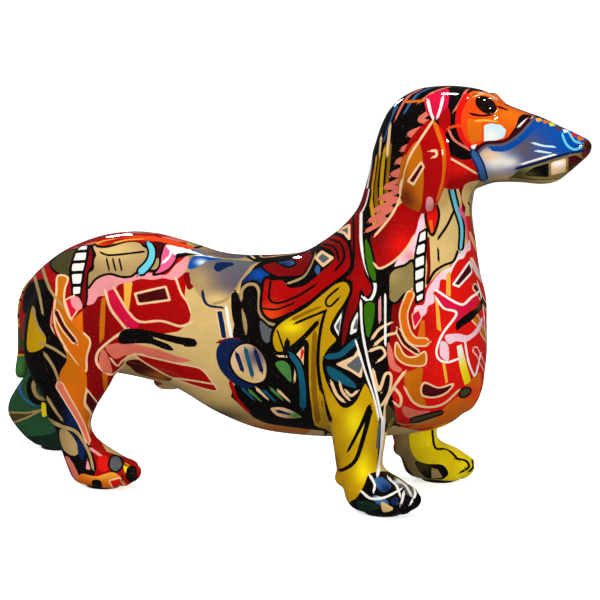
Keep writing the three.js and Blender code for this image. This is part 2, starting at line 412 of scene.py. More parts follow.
@dataclass(frozen=True)
class Anatomy:
    """The dog's body plan: the stacks of sections that the castings were modelled on.

    What lies on the middle line has (place, low and high edge, half width), and an ear or a leg has
    (height, back, front, inner, outer).
    """

    torso: tuple = (
        (-145, 78, 78, 0),
        (-143.5, 66, 89, 12),
        (-139, 57, 97.5, 20),
        (-130, 52, 105.5, 27),
        (-118, 50.5, 113, 31.5),
        (-100, 51, 119.2, 33.5),
        (-80, 49, 120.8, 32.5),
        (-60, 44.5, 117.2, 30.5),
        (-40, 34.5, 112.2, 30.5),
        (-20, 28, 111.8, 32),
        (0, 26.3, 114, 34.5),
        (20, 26.8, 119, 36.5),
        (40, 28.5, 120, 37),
        (58, 31, 116, 35),
        (72, 35.5, 108, 30),
        (81, 42.5, 100, 23.5),
        (86.5, 51.5, 92, 16),
        (89.5, 62, 84, 8),
        (90.5, 73, 73, 0),
    )
    neck: tuple = (
        (182, 60, 60, 0),
        (179, 48, 74, 13),
        (174, 41, 79, 18),
        (165, 36.8, 82, 20.5),
        (156, 35.3, 83, 21.5),
        (146, 32.8, 83.2, 22.5),
        (136, 29.3, 82, 24),
        (127.5, 21.8, 83, 26.5),
        (121.6, 14.2, 84, 28.5),
        (114, 3, 85, 32),
        (106, -2, 86.5, 34),
        (92, 2, 90, 34.5),
        (74, 16, 88, 30),
        (58, 40, 78, 18),
        (50, 58, 58, 0),
    )
    head: tuple = (
        (38, 170, 170, 0),
        (39.5, 163, 175, 7),
        (44, 155, 181.2, 14),
        (50, 148, 187.3, 19),
        (58, 144, 191.2, 22),
        (68, 143, 192.7, 23),
        (78, 143.3, 192.3, 21.5),
        (86, 146.5, 190.8, 19),
        (92, 149, 188, 16.8),
        (98, 149.5, 184.2, 14.8),
        (106, 149.5, 181.2, 13),
        (114, 148.9, 178.5, 11.5),
        (121, 150.3, 175.2, 10.2),
        (127, 155, 172.6, 8.8),
        (132, 159.6, 170.2, 6.8),
        (135, 162.5, 168.8, 4.5),
        (136.5, 166, 166, 0),
    )
    ear: tuple = (
        (182, 68, 68, 19, 19),
        (179.5, 64, 72, 15, 21),
        (173, 61, 74.5, 16, 24),
        (164.5, 58.3, 75.9, 18, 27),
        (156, 56.3, 76.3, 18.5, 28),
        (148.5, 55.6, 75.2, 19, 27.5),
        (142, 57.5, 72.4, 20, 26.5),
        (138.3, 61, 69, 21, 24.5),
        (137, 65, 65, 22.5, 22.5),
    )
    foreleg: tuple = (
        (88, 40, 40, 25, 25),
        (84, 29, 52, 17, 34),
        (72, 19, 60, 14, 39),
        (58, 20, 60.5, 15, 41.5),
        (46, 23.5, 57, 17.5, 42),
        (38, 25.8, 53.3, 19.5, 41.5),
        (30, 27.3, 51.5, 20.5, 40.5),
        (22, 28.6, 50.5, 21, 40),
        (18.5, 29.5, 53.5, 21, 40.5),
        (15, 31.5, 61.5, 20, 42),
        (11, 33, 66.5, 18.5, 43.5),
        (7, 34, 68, 18, 43.5),
        (4, 35.5, 66.5, 19, 42.5),
        (SOLE_Z, 39, 62, 21.5, 40.5),
    )
    hindleg_bent: tuple = (
        (102, -110, -110, 22, 22),
        (97, -123, -98, 10, 33.5),
        (86, -130.5, -86, 8, 38),
        (72, -133.5, -82, 10, 39.5),
        (60, -132.5, -83, 13, 39.5),
        (52, -129, -86, 16, 38.5),
        (44, -123.5, -91, 18.5, 37.5),
        (38, -120, -94.7, 20, 36.5),
        (30, -117, -97.7, 21, 36),
        (23, -114.5, -95.5, 21, 36.5),
        (17, -112, -86, 20, 39),
        (12, -109.5, -76.8, 18, 42),
        (7, -107, -73.8, 17.5, 43),
        (4, -105.5, -74.8, 18.5, 42),
        (SOLE_Z, -102, -79, 21, 39.5),
    )
    hindleg_stretched: tuple = (
        (102, -112, -112, 22, 22),
        (97, -125, -98, 10, 33.5),
        (86, -134, -88, 8, 38),
        (72, -142, -90, 10, 39),
        (60, -149, -98, 13, 39),
        (50, -155.5, -108, 16, 38),
        (40, -162.5, -120, 18.5, 37.5),
        (32, -168.5, -130, 20, 37),
        (25, -172.8, -138, 20.5, 37),
        (18, -174, -140, 21, 38.5),
        (12, -171, -136, 21, 41.5),
        (7, -166.5, -133, 21, 43),
        (4, -162.5, -133, 22, 42),
        (SOLE_Z, -158, -137, 24, 40),
    )
    tail: tuple = (
        (101, -133, -133, 0),
        (98, -140, -127, 5),
        (91, -146.5, -131, 6.8),
        (81, -150.3, -137, 6.4),
        (69, -150.7, -140, 5.4),
        (57, -151.3, -143.3, 4.4),
        (49, -153, -146.3, 3.8),
        (44.5, -152.8, -147, 3.2),
        (43, -150, -150, 0),
    )

    toe: tuple[float, float, float] = (8.8, 3.5, 5.8)
    toe_height: float = 6.6
    toe_fan: tuple = ((-1.5, -8.4, -12), (2.5, -3.0, -5), (2.5, 3.0, 5), (-1.5, 8.4, 12))
    partings: tuple[Point, ...] = ((5, -6.0), (8, 0.0), (5, 6.0))
    parting: Point = (1.1, 0.9)

    def forms(self) -> dict[str, Form]:
        """Names every form of the dog.

        Returns:
            The forms by name; those of a limb, an ear or the tail carry its casting's name.
        """
        made = [
            Form("torso", Along.LENGTH, even(self.torso), melt=14),
            Form("neck", Along.HEIGHT, even(self.neck), melt=14),
            Form("head", Along.LENGTH, even(self.head), power=2.4),
            Form("tail", Along.HEIGHT, even(self.tail), melt=5),
            leg_form("right_foreleg", self.foreleg, RIGHT, turnout=TURNOUT),
            leg_form("left_foreleg", self.foreleg, LEFT, stride=STRIDE, turnout=TURNOUT),
            leg_form("right_hindleg", self.hindleg_bent, RIGHT),
            leg_form("left_hindleg", self.hindleg_stretched, LEFT),
        ]
        for name, side in (("right_ear", RIGHT), ("left_ear", LEFT)):
            rows = tuple((z, b, f, *((-o, -i) if side == RIGHT else (i, o))) for z, b, f, i, o in self.ear)
            made.append(Form(name, Along.HEIGHT, rows, melt=2.5))
        return {form.name: form for form in made}

    def paws(self, forms: dict[str, Form]) -> tuple[list[Lump], list[Crease]]:
        """Places four toes on the front of each paw, and the grooves between them.

        Args:
            forms: The dog's forms, for the turned front paws.

        Returns:
            The toes as lumps, and the grooves as creases.
        """
        paws = (
            ("right_foreleg", 58.5, -30.8, RIGHT, TURNOUT),
            ("left_foreleg", 58.5 + STRIDE, 30.8, LEFT, TURNOUT),
            ("right_hindleg", -82.5, -30.3, RIGHT, 0.0),
            ("left_hindleg", -141.0, 31.5, LEFT, 0.0),
        )
        toes, grooves = [], []
        for name, x, y, side, turnout in paws:
            turned = forms[name].turned
            for along, across, fan in self.toe_fan:
                spot = turned(np.array([[x + along, y + across, self.toe_height]]), 1)[0]
                toes.append(Lump(tuple(spot), self.toe, yaw=fan + side * turnout, pitch=12))
            for along, across in self.partings:
                ends = (
                    (along + 1.5, across * 1.1, 5),
                    (along - 1, across, 10.5),
                    (along - 8, across * 0.9, 13.5),
                )
                line = turned(np.array([(x + u, y + v, z) for u, v, z in ends]), 1)
                grooves.append(Crease(tuple(map(tuple, line)), *self.parting, both_sides=False))
        return toes, grooves

    def muscles(self) -> list[Lump]:
        """The lumps that swell the skin where bone or muscle lies under it."""
        right = [
            Lump((-104, -25, 72), (25, 14.5, 27), pitch=20),
            Lump((35, -27, 84), (17, 10.5, 27), pitch=-18),
            Lump((29, -33, 50), (9, 8, 12)),
            Lump((-115.5, -29, 36), (5, 6, 8)),
            Lump((31.2, -31.5, 15), (3.6, 5.5, 4.2)),
        ]
        left = [
            Lump((-108, 25, 72), (25, 14.5, 27), pitch=8),
            Lump((40, 27, 84), (17, 10.5, 27), pitch=-18),
            Lump((39, 33, 50), (9, 8, 12)),
            Lump((41.7, 31.5, 15), (3.6, 5.5, 4.2)),
        ]
        head = [Lump((72, -14, 160), (15, 8.6, 13)), Lump((86, -9, 184.6), (7, 5.5, 3.4), pitch=20)]
        middle = [Lump((81, 0, 66), (9, 13, 24)), Lump((-66, 0, 48), (11, 4.5, 5), pitch=12)]
        return right + left + head + [lump.mirrored() for lump in head] + middle

    def creases(self) -> list[Crease]:
        """The lines drawn into the clay: mouth, nose, lids, folds and tendons."""
        mouth = (
            (100.5, -14, 154), (108, -12.6, 156.2), (116, -11, 158.4), (124, -9, 160.2), (131.5, -6, 161.6),
        )
        return [
            Crease(mouth, 0.9, 0.9),
            Crease(((99, -14.6, 152), (100.5, -14.2, 154)), 1.6, 0.8),
            Crease(((104, -13.4, 158), (112, -12, 160.5), (121, -10, 163)), 3.0, -0.5),
            Crease(((134, -3.6, 166.4), (132.4, -5, 166)), 1.0, 1.0),
            Crease(((129.5, -6.8, 171), (128.6, -7.8, 167.5), (130, -7.2, 163)), 1.2, 0.45),
            Crease(((136.6, 0, 168), (136, 0, 163)), 0.8, 0.5, both_sides=False),
            Crease(((96, 0, 186.5), (82, 0, 192), (64, 0, 193)), 3.0, 0.7, both_sides=False),
            Crease(((96.5, -13, 177.5), (99, -13.2, 174.5), (103, -13, 171)), 1.4, 0.5),
            Crease(((76, -21, 176), (77.5, -21.5, 164), (76.5, -22, 150)), 2.2, 0.7),
            Crease(((84, -17, 146), (84, -10, 145), (84, 0, 144.5)), 2.5, 0.8),
            Crease(((60, -36, 92), (61, -37, 74), (58, -37, 56)), 4.0, 1.3),
            Crease(((12, -34, 92), (13, -37, 74), (17, -38, 56), (22, -38, 42)), 4.5, 1.4),
            Crease(((-82, -33, 86), (-80, -34, 68), (-84, -34, 52)), 4.0, 1.2),
            Crease(((-84, -30, 53), (-74, -29, 49), (-62, -28, 48)), 3.0, -1.2),
            Crease(((-116, -36.5, 46), (-112.5, -36.8, 36), (-110, -36.5, 26)), 2.2, 0.8, both_sides=False),
            Crease(((-158, 37.5, 40), (-163, 37.2, 30)), 2.2, 0.8, both_sides=False),
            Crease(((64.5, -26, 166), (64, -28, 156), (64.5, -27.5, 148)), 4.0, 0.7),
        ]


def new_mesh(name: str, points: np.ndarray, faces: Faces, smooth: bool = False) -> bpy.types.Mesh:
    """Makes a mesh from points in millimetres.

    Args:
        name: The mesh's name.
        points: One row per point.
        faces: The corners of each face.
        smooth: Whether the light runs softly over its edges.

    Returns:
        The mesh, in metres.
    """
    mesh = bpy.data.meshes.new(name)
    mesh.from_pydata((np.asarray(points) * MM).tolist(), [], faces)
    mesh.update()
    mesh.polygons.foreach_set("use_smooth", np.full(len(mesh.polygons), smooth))
    return mesh


def new_object(name: str, mesh: bpy.types.Mesh) -> bpy.types.Object:
    """Puts a mesh in the scene under a name."""
    made = bpy.data.objects.new(name, mesh)
    bpy.context.scene.collection.objects.link(made)
    return made


@dataclass
class Eyes:
    """Two polished glass cabochons and the lids that the clay forms round them."""

    x: float = 90.0
    y: float = 10.0
    z: float = 182.6
    radius: float = 5.0
    flatness: float = 0.84
    back: float = 1.35
    around: int = 48
    slant: tuple[float, float, float] = (0.9, 0.0, -0.44)
    outward: tuple[float, float, float] = (0.24, 0.8, 0.55)

    def axis(self, side: int) -> np.ndarray:
        """The direction that an eye looks in."""
        out = np.array(self.outward) * (1, side, 1)
        return out / np.linalg.norm(out)

    def set_in(self, points: np.ndarray, normals: np.ndarray) -> np.ndarray:
        """Presses the sockets in and raises the lids.

        Args:
            points: The skin's points.
            normals: The skin's normals.

        Returns:
            The moved points.
        """
        out = points.copy()
        for side in (RIGHT, LEFT):
            look = self.axis(side)
            rel = points - (self.x, side * self.y, self.z)
            high = rel @ look
            flat = rel - high[:, None] * look
            slant = np.array(self.slant)
            slant -= (slant @ look) * look
            slant /= np.linalg.norm(slant)
            long, short = flat @ slant, flat @ np.cross(look, slant)
            rho = np.hypot(long / 1.28, short)
            near = (rho < 11) & (high > -1)
            rho, lift = rho[near], flat[near][:, 2]
            socket = -1.7 * (1 - smoothstep(3.1, 4.0, rho))
            lid = (0.6 + 0.3 * smoothstep(-2, 3, lift)) * np.exp(-(((rho - 4.6) / 0.95) ** 2))
            fold = -0.45 * np.exp(-(((rho - 7.0) / 0.8) ** 2)) * smoothstep(0, 4, lift)
            out[near] += normals[near] * (socket + lid + fold)[:, None]
        return out

    def mesh(self, side: int) -> tuple[np.ndarray, Faces]:
        """Turns the cabochon's profile about its axis.

        Args:
            side: RIGHT or LEFT.

        Returns:
            The points and faces: a dome, a ground edge and a flat back.
        """
        arc = np.radians(np.linspace(2, 88, 22))
        profile = [(self.radius * math.sin(a), self.flatness * self.radius * math.cos(a)) for a in arc]
        profile += [(self.radius * 0.98, -0.5), (self.radius * 0.86, -1.3), (self.radius * 0.4, -self.back)]
        look = self.axis(side)
        right = np.cross(look, (0, 0, 1))
        right /= np.linalg.norm(right)
        up = np.cross(right, look)
        centre = np.array((self.x, side * self.y, self.z))
        points = [centre + look * self.radius * self.flatness]
        for r, h in profile:
            for k in range(self.around):
                a = 2 * math.pi * k / self.around
                points.append(centre + look * h + r * (math.cos(a) * right + math.sin(a) * up))
        points.append(centre - look * self.back)
        return np.array(points), lathe_faces(len(profile), self.around)


@dataclass
class Castings:
    """The cast pieces, sculpted as one skin and then cut apart along their seams.

    evening, melting and polishing are how often the clay is smoothed all over, then at the joins, then
    once more, and the paws keep their shape below paw_top, where the smoothing fades out.
    """

    anatomy: Anatomy
    eyes: Eyes
    grain: float = 0.9 * MM
    vent: tuple[float, float] = (-12.0, 3.0)
    forms: dict[str, Form] = field(default_factory=dict)
    limbs: tuple[str, ...] = (
        "right_ear", "left_ear", "right_foreleg", "left_foreleg", "right_hindleg", "left_hindleg", "tail",
    )
    evening: int = 4
    melting: int = 90
    polishing: int = 6
    paw_top: Point = (20.0, 26.0)

    def fuse(self) -> Skin:
        """Joins the forms and lumps into one closed surface of even grain.

        Returns:
            The skin, in millimetres.
        """
        self.forms = self.anatomy.forms()
        parts = [form.mesh() for form in self.forms.values()]
        parts += [lump.mesh() for lump in self.anatomy.paws(self.forms)[0] + self.anatomy.muscles()]
        points, faces, base = [], [], 0
        for spots, corners in parts:
            points.append(spots)
            faces += [tuple(c + base for c in corner) for corner in corners]
            base += len(spots)
        rough = new_object("rough", new_mesh("rough", np.vstack(points), faces))
        remesh = rough.modifiers.new("grain", "REMESH")
        remesh.mode, remesh.voxel_size, remesh.adaptivity = "VOXEL", self.grain, 0
        ready = rough.evaluated_get(bpy.context.evaluated_depsgraph_get()).to_mesh()
        spots = np.zeros(len(ready.vertices) * 3, np.float32)
        ready.vertices.foreach_get("co", spots)
        ready.calc_loop_triangles()
        corners = np.zeros(len(ready.loop_triangles) * 3, np.int32)
        ready.loop_triangles.foreach_get("vertices", corners)
        skin = Skin(spots.reshape(-1, 3).astype(float) / MM, corners.reshape(-1, 3).astype(int))
        bpy.data.objects.remove(rough)
        return skin

    def gaps(self, points: np.ndarray) -> dict[str, np.ndarray]:
        """How far points lie outside each form, by the form's name."""
        return {name: form.depth(points) for name, form in self.forms.items()}

    def sponge(self, skin: Skin) -> None:
        """Smooths the skin where two forms meet, and evens out its grain everywhere.

        Args:
            skin: The skin to smooth.

        Returns:
            None.
        """
        skin.points = skin.relax(skin.points, np.ones(len(skin.points)), self.evening)
        gaps = self.gaps(skin.points)
        names = list(gaps)
        far = np.abs(np.column_stack([gaps[n] for n in names]))
        melt = np.array([self.forms[n].melt for n in names])
        order = np.argsort(far, axis=1)
        rows = np.arange(len(far))
        second = far[rows, order[:, 1]]
        reach = np.minimum(melt[order[:, 0]], melt[order[:, 1]])
        weight = 1 - smoothstep(0.2, 1.0, second / reach)
        paw = 1 - smoothstep(*self.paw_top, skin.points[:, 2])
        weight *= 1 - paw
        skin.points = skin.relax(skin.points, weight, self.melting)
        skin.points = skin.relax(skin.points, 1 - 0.8 * paw, self.polishing)

    def carve(self, skin: Skin) -> None:
        """Draws the creases, the gaps between toes and the eye sockets into the skin.

        Args:
            skin: The skin to carve.

        Returns:
            None.
        """
        for crease in self.anatomy.creases() + self.anatomy.paws(self.forms)[1]:
            skin.points = crease.press(skin.points, skin.normals())
        skin.points = self.eyes.set_in(skin.points, skin.normals())
        skin.points = skin.relax(skin.points, np.full(len(skin.points), 0.5), 2)
        low = skin.points[:, 2] < SOLE_Z
        skin.points[low, 2] = SOLE_Z

    def divide(self, skin: Skin) -> np.ndarray:
        """Cuts the skin along the seams between the castings.

        Args:
            skin: The skin to cut.

        Returns:
            The casting's number for each triangle: 0 for the body, 1 for the head, then the limbs,
            and -1 for the triangles that the vent takes away.
        """
        skin.normal = skin.normals()
        owner = np.zeros(len(skin.faces), int)

        def cut(level: np.ndarray, number: int) -> None:
            """Gives the triangles below zero, where the body still holds them, a new number."""
            nonlocal owner
            low = skin.split(level)
            owner = owner[skin.parents]
            owner[low & (owner == 0)] = number

        for number, name in enumerate(self.limbs, start=2):
            gaps = self.gaps(skin.points)
            others = np.min([gap for other, gap in gaps.items() if other != name], axis=0)
            cut(gaps[name] - others, number)
        cut(NECK_JOINT_Z - skin.points[:, 2], 1)
        x, y, z = skin.points.T
        cut(np.where(z < BELLY_Z, np.hypot(x - self.vent[0], y) - self.vent[1], FAR), -1)
        return owner

    def piece(self, name: str, skin: Skin, faces: np.ndarray, film: "Film") -> bpy.types.Object:
        """Closes one casting's part of the skin, lays its film on and makes it an object.

        Args:
            name: The casting's name.
            skin: The divided skin.
            faces: The casting's triangles.
            film: The printed film that covers it.

        Returns:
            The casting, with the skin's normals, the film's values, and bare clay on its joint faces.
        """
        used, index = np.unique(faces, return_inverse=True)
        faces = index.reshape(-1, 3)
        points, normals = skin.points[used], skin.normal[used]
        extra, bare = self.caps(points, faces.tolist())
        everything = np.vstack([points, np.array(extra).reshape(-1, 3)])
        placed = everything + (SHIFT_X, 0, 0)
        mesh = new_mesh(name, placed, faces.tolist() + bare, smooth=True)
        mesh.polygons.foreach_set("material_index", np.array([0] * len(faces) + [1] * len(bare), np.int32))
        a, b, c = (everything[np.array(bare, int).reshape(-1, 3)[:, k]] for k in range(3))
        flat = np.cross(b - a, c - a)
        flat /= np.maximum(np.linalg.norm(flat, axis=1), 1e-12)[:, None]
        corners = np.vstack([normals[faces.ravel()], np.repeat(flat, 3, axis=0)])
        mesh.normals_split_custom_set(corners.tolist())
        for key, value in film.lay(points, normals, faces).items():
            wide = value.shape[-1] == 4
            layer = mesh.attributes.new(key, "FLOAT_COLOR" if wide else "FLOAT", "CORNER")
            rows = np.vstack([value, np.zeros((3 * len(bare), value.shape[-1]))])
            layer.data.foreach_set("color" if wide else "value", rows.astype(np.float32).ravel())
        return new_object(name, mesh)

    def caps(self, points: np.ndarray, faces: list[list[int]]) -> tuple[list, Faces]:
        """Closes a casting's open edges with fans, and gives the vent a short wall.

        Args:
            points: The casting's points.
            faces: Its triangles.

        Returns:
            The extra points, and the triangles that close the edges.
        """
        follow: dict[int, list[int]] = {}
        heads = {(a, b) for t in faces for a, b in ((t[0], t[1]), (t[1], t[2]), (t[2], t[0]))}
        for a, b in sorted(heads):
            if (b, a) not in heads:
                follow.setdefault(a, []).append(b)
        extra, bare = [], []
        while follow:
            start = next(iter(follow))
            loop, at = [start], follow[start].pop()
            while at != start and at in follow and follow[at]:
                loop.append(at)
                at = follow[at].pop()
            follow = {a: b for a, b in follow.items() if b}
            ring = points[loop]
            middle = ring.mean(0)
            if np.hypot(*(middle[:2] - (self.vent[0], 0))) < 1 and middle[2] < BELLY_Z:
                base = len(points) + len(extra)
                extra += list(ring + (0, 0, WALL))
                for k, (a, b) in enumerate(zip(loop, loop[1:] + loop[:1])):
                    n = (k + 1) % len(loop)
                    bare += [(b, a, base + k), (b, base + k, base + n)]
                loop = [base + k for k in range(len(loop))]
                middle = middle + (0, 0, WALL)
            apex = len(points) + len(extra)
            extra.append(middle)
            bare += [(b, a, apex) for a, b in zip(loop, loop[1:] + loop[:1])]
        return extra, bare


class Ink(Enum):
    """The print's inks, as red, green and blue out of 255."""

    BLACK = (16, 12, 11)
    OLIVE = (84, 78, 46)
    TAN = (180, 152, 104)
    KHAKI = (150, 134, 84)
    SAND = (224, 192, 128)
    CREAM = (246, 206, 160)
    IVORY = (250, 246, 238)
    GREY = (104, 110, 112)
    MAROON = (84, 10, 18)
    WINE = (134, 10, 16)
    RED = (180, 10, 12)
    SCARLET = (228, 28, 20)
    VERMILION = (240, 80, 22)
    ORANGE = (228, 118, 20)
    AMBER = (206, 118, 16)
    RUST = (128, 52, 22)
    GOLD = (246, 184, 72)
    YELLOW = (250, 226, 24)
    MUSTARD = (206, 162, 14)
    OCHRE = (156, 112, 12)
    ROSE = (222, 24, 74)
    CORAL = (228, 124, 104)
    PINK = (238, 158, 160)
    BLUSH = (248, 206, 218)
    BERRY = (232, 104, 146)
    CYAN = (112, 204, 220)
    ICE = (206, 234, 240)
    STEEL = (62, 108, 160)
    BLUE = (8, 84, 166)
    NAVY = (20, 42, 88)
    TEAL = (26, 100, 122)
    MAUVE = (104, 94, 108)
    LEAF = (88, 144, 76)
    GREEN = (62, 122, 18)
    BOTTLE = (48, 92, 62)
    PINE = (26, 52, 40)

    def light(self) -> np.ndarray:
        """The ink as the even scale of light that a shader works in."""
        part = np.array(self.value) / 255
        return np.where(part <= 0.04045, part / 12.92, ((part + 0.055) / 1.055) ** 2.4)


@dataclass(frozen=True)
class Mist:
    """A soft spot of ink blown on with an airbrush; a few of them are painted highlights and painted shade.
    """

    ink: Ink
    centre: tuple[float, float]
    reach: tuple[float, float]

    def blow(self, colour: np.ndarray, at: np.ndarray) -> np.ndarray:
        """Tints colours by how near they lie.

        Args:
            colour: One colour per point.
            at: Each point's place on the sheet.

        Returns:
            The tinted colours.
        """
        away = (at - np.array(self.centre)) / np.array(self.reach)
        return colour + np.exp(-(away**2).sum(1))[:, None] * (self.ink.light() - colour)


class Drawn(Enum):
    """How a mark's points are joined."""

    CURVE = "a closed smooth outline"
    FACET = "a closed outline with straight edges"
    STROKE = "an open brush line"


@dataclass(frozen=True)
class Mark:
    """One shape on the sheet, mostly print with a few painted highlights and painted shade: an ink, an
    outline and a rim line along it, in millimetres on the sheet.
    """

    ink: Ink
    drawn: Drawn
    points: tuple[tuple[float, float], ...]
    rim: Ink | None = None
    edge: float = 0.5
    brush: tuple[float, float] = (0.0, 0.0)
    mists: tuple[Mist, ...] = ()

    def outline(self) -> np.ndarray:
        """The points of the outline, rounded where it is a curve or a stroke."""
        points = np.array(self.points, float)
        if self.drawn is Drawn.FACET:
            return np.vstack([points, points[:1]])
        if self.drawn is Drawn.STROKE:
            return catmull_rom(points, 1 + 5 * (len(points) - 1)) if len(points) > 2 else points
        wrapped = np.vstack([points[-1:], points, points[:2]])
        return catmull_rom(wrapped, 1 + 6 * (len(wrapped) - 1))[6:-6]

    def measure(self, at: np.ndarray, reach: float) -> tuple[np.ndarray, ...]:
        """Measures how far places lie from the mark's outline or, for a stroke, from its middle line.

        Args:
            at: The places on the sheet.
            reach: How far out it matters.

        Returns:
            The numbers of the places within reach, their signed distances (below zero inside an outline,
            or on a stroke's right), and the stroke's half width beside each.
        """
        line = self.outline()
        reach += max(self.brush) / 2
        near = np.flatnonzero(np.all((at > line.min(0) - reach) & (at < line.max(0) + reach), axis=1))
        spot = at[near]
        best, half = np.full(len(spot), FAR), np.zeros(len(spot))
        below = np.zeros(len(spot), bool)
        widths = np.linspace(self.brush[0], self.brush[1], len(line)) / 2
        for k in range(len(line) - 1):
            p, d = line[k], line[k + 1] - line[k]
            rel = spot - p
            t = np.clip((rel @ d) / max(d @ d, TINY), 0, 1)
            away = rel - t[:, None] * d
            gap = np.hypot(away[:, 0], away[:, 1])
            nearer = gap < best
            best[nearer] = gap[nearer]
            if self.drawn is Drawn.STROKE:
                half[nearer] = (widths[k] + t * (widths[k + 1] - widths[k]))[nearer]
                below[nearer] = (d[0] * rel[:, 1] - d[1] * rel[:, 0] < 0)[nearer]
            elif abs(d[1]) > TINY:
                crosses = (rel[:, 1] < 0) != (rel[:, 1] < d[1])
                below ^= crosses & (rel[:, 0] < d[0] * rel[:, 1] / d[1])
        return near, np.where(below, -best, best), half

    def colour(self, at: np.ndarray) -> np.ndarray:
        """The mark's colour at each place, mists included."""
        colour = np.tile(self.ink.light(), (len(at), 1))
        for mist in self.mists:
            colour = mist.blow(colour, at)
        return colour

    def coats(self, colour: np.ndarray, s: np.ndarray, h: np.ndarray, solid: float) -> list[tuple]:
        """Lists what the mark lays down, from the bottom up.

        Args:
            colour: Its colour at each corner.
            s: The signed distances there.
            h: The stroke's half widths there.
            solid: How far inside its edge a filled shape still counts as ink.

        Returns:
            For each coat its colour, the distance to its line, its reach from that line, and how far
            outside the coat each corner lies.
        """
        fill = (colour, s + solid, np.full_like(s, solid), s)
        line = (colour, s, h - (self.edge if self.rim else 0), np.abs(s) - h)
        made = [] if self.drawn is Drawn.STROKE else [fill]
        if self.rim:
            ink = np.broadcast_to(self.rim.light(), colour.shape)
            made.append((ink, s, h + self.edge, np.abs(s) - h - self.edge))
        return [*made, line] if self.drawn is Drawn.STROKE else made


def blob(ink: Ink, *points: Point, rim: Ink | None = None, edge: float = 0.5, mists: tuple = ()) -> Mark:
    """Makes a mark with a smooth outline."""
    return Mark(ink, Drawn.CURVE, points, rim, edge, mists=mists)


def facet(ink: Ink, *points: Point, rim: Ink | None = None, edge: float = 0.5, mists: tuple = ()) -> Mark:
    """Makes a mark with straight edges."""
    return Mark(ink, Drawn.FACET, points, rim, edge, mists=mists)


def stroke(ink: Ink, *points: Point, w: float = 1.4, end: float | None = None, rim: Ink | None = None,
           edge: float = 0.5) -> Mark:
    """Makes a brush line of width w, which may thin or swell towards its end."""
    return Mark(ink, Drawn.STROKE, points, rim, edge, brush=(w, w if end is None else end))


def oval(ink: Ink, centre: Point, radii: Point, turn: float = 0.0, rim: Ink | None = None, edge: float = 0.5,
         mists: tuple = ()) -> Mark:
    """Makes an oval mark.

    Args:
        ink: Its colour.
        centre: Its middle.
        radii: Its half length and half width.
        turn: Degrees that its length is turned anticlockwise.
        rim: The colour of its rim line.
        edge: Half the width of the rim line.
        mists: What is blown over it.

    Returns:
        The mark.
    """
    c, s = math.cos(math.radians(turn)), math.sin(math.radians(turn))
    points = []
    for k in range(10):
        a, b = radii[0] * math.cos(k * math.pi / 5), radii[1] * math.sin(k * math.pi / 5)
        points.append((centre[0] + c * a - s * b, centre[1] + s * a + c * b))
    return blob(ink, *points, rim=rim, edge=edge, mists=mists)


def ladder(
    ink: Ink, left: tuple[Point, ...], right: tuple[Point, ...], rim: Ink, gap: float = 0.1
) -> list[Mark]:
    """Fills the strip between two rails with blocks.

    Args:
        ink: The blocks' colour.
        left: The left rail's points.
        right: The right rail's points, one for each on the left.
        rim: The colour of the blocks' rim lines.
        gap: The share of a block's height left open below it.

    Returns:
        A mark for each block.
    """
    a, b = np.array(left, float), np.array(right, float)
    made = []
    for k in range(len(a) - 1):
        low_a, low_b = a[k + 1] + gap * (a[k] - a[k + 1]), b[k + 1] + gap * (b[k] - b[k + 1])
        corners = tuple(tuple(corner) for corner in (a[k], b[k], low_b, low_a))
        made.append(facet(ink, *corners, rim=rim))
    return made


@dataclass(frozen=True)
class Projector:
    """The fixed point beside the work bench that the flat sheet is stretched over the dog from."""

    azimuth: float = AZIMUTH
    elevation: float = ELEVATION
    distance: float = DISTANCE
    centre: tuple[float, float, float] = (0.0, 0.0, MIDDLE_Z)
    bend: float = 0.8
    tightness: float = 0.7

    def sheet(self, points: np.ndarray, normals: np.ndarray, curl: float) -> np.ndarray:
        """Finds where on the flat sheet each point of the dog lies.

        Args:
            points: The dog's points.
            normals: Their normals.
            curl: The radius that the sheet is wrapped round where the skin turns away.

        Returns:
            The places on the sheet: across and up.
        """
        a = math.radians(self.azimuth)
        back, right = bearing(self.azimuth, self.elevation), np.array([math.cos(a), math.sin(a), 0])
        up = np.cross(back, right)
        rel = points - np.array(self.centre)
        scale = self.distance / (self.distance - rel @ back)
        at = np.column_stack([(rel @ right) * scale, (rel @ up) * scale])
        for axis, way in enumerate((right, up)):
            lean = np.clip(normals @ way, -1, 1)
            over = np.maximum(np.arcsin(np.abs(lean)) - math.asin(self.bend), 0)
            at[:, axis] += self.tightness * curl * over * np.sign(lean)
        return at


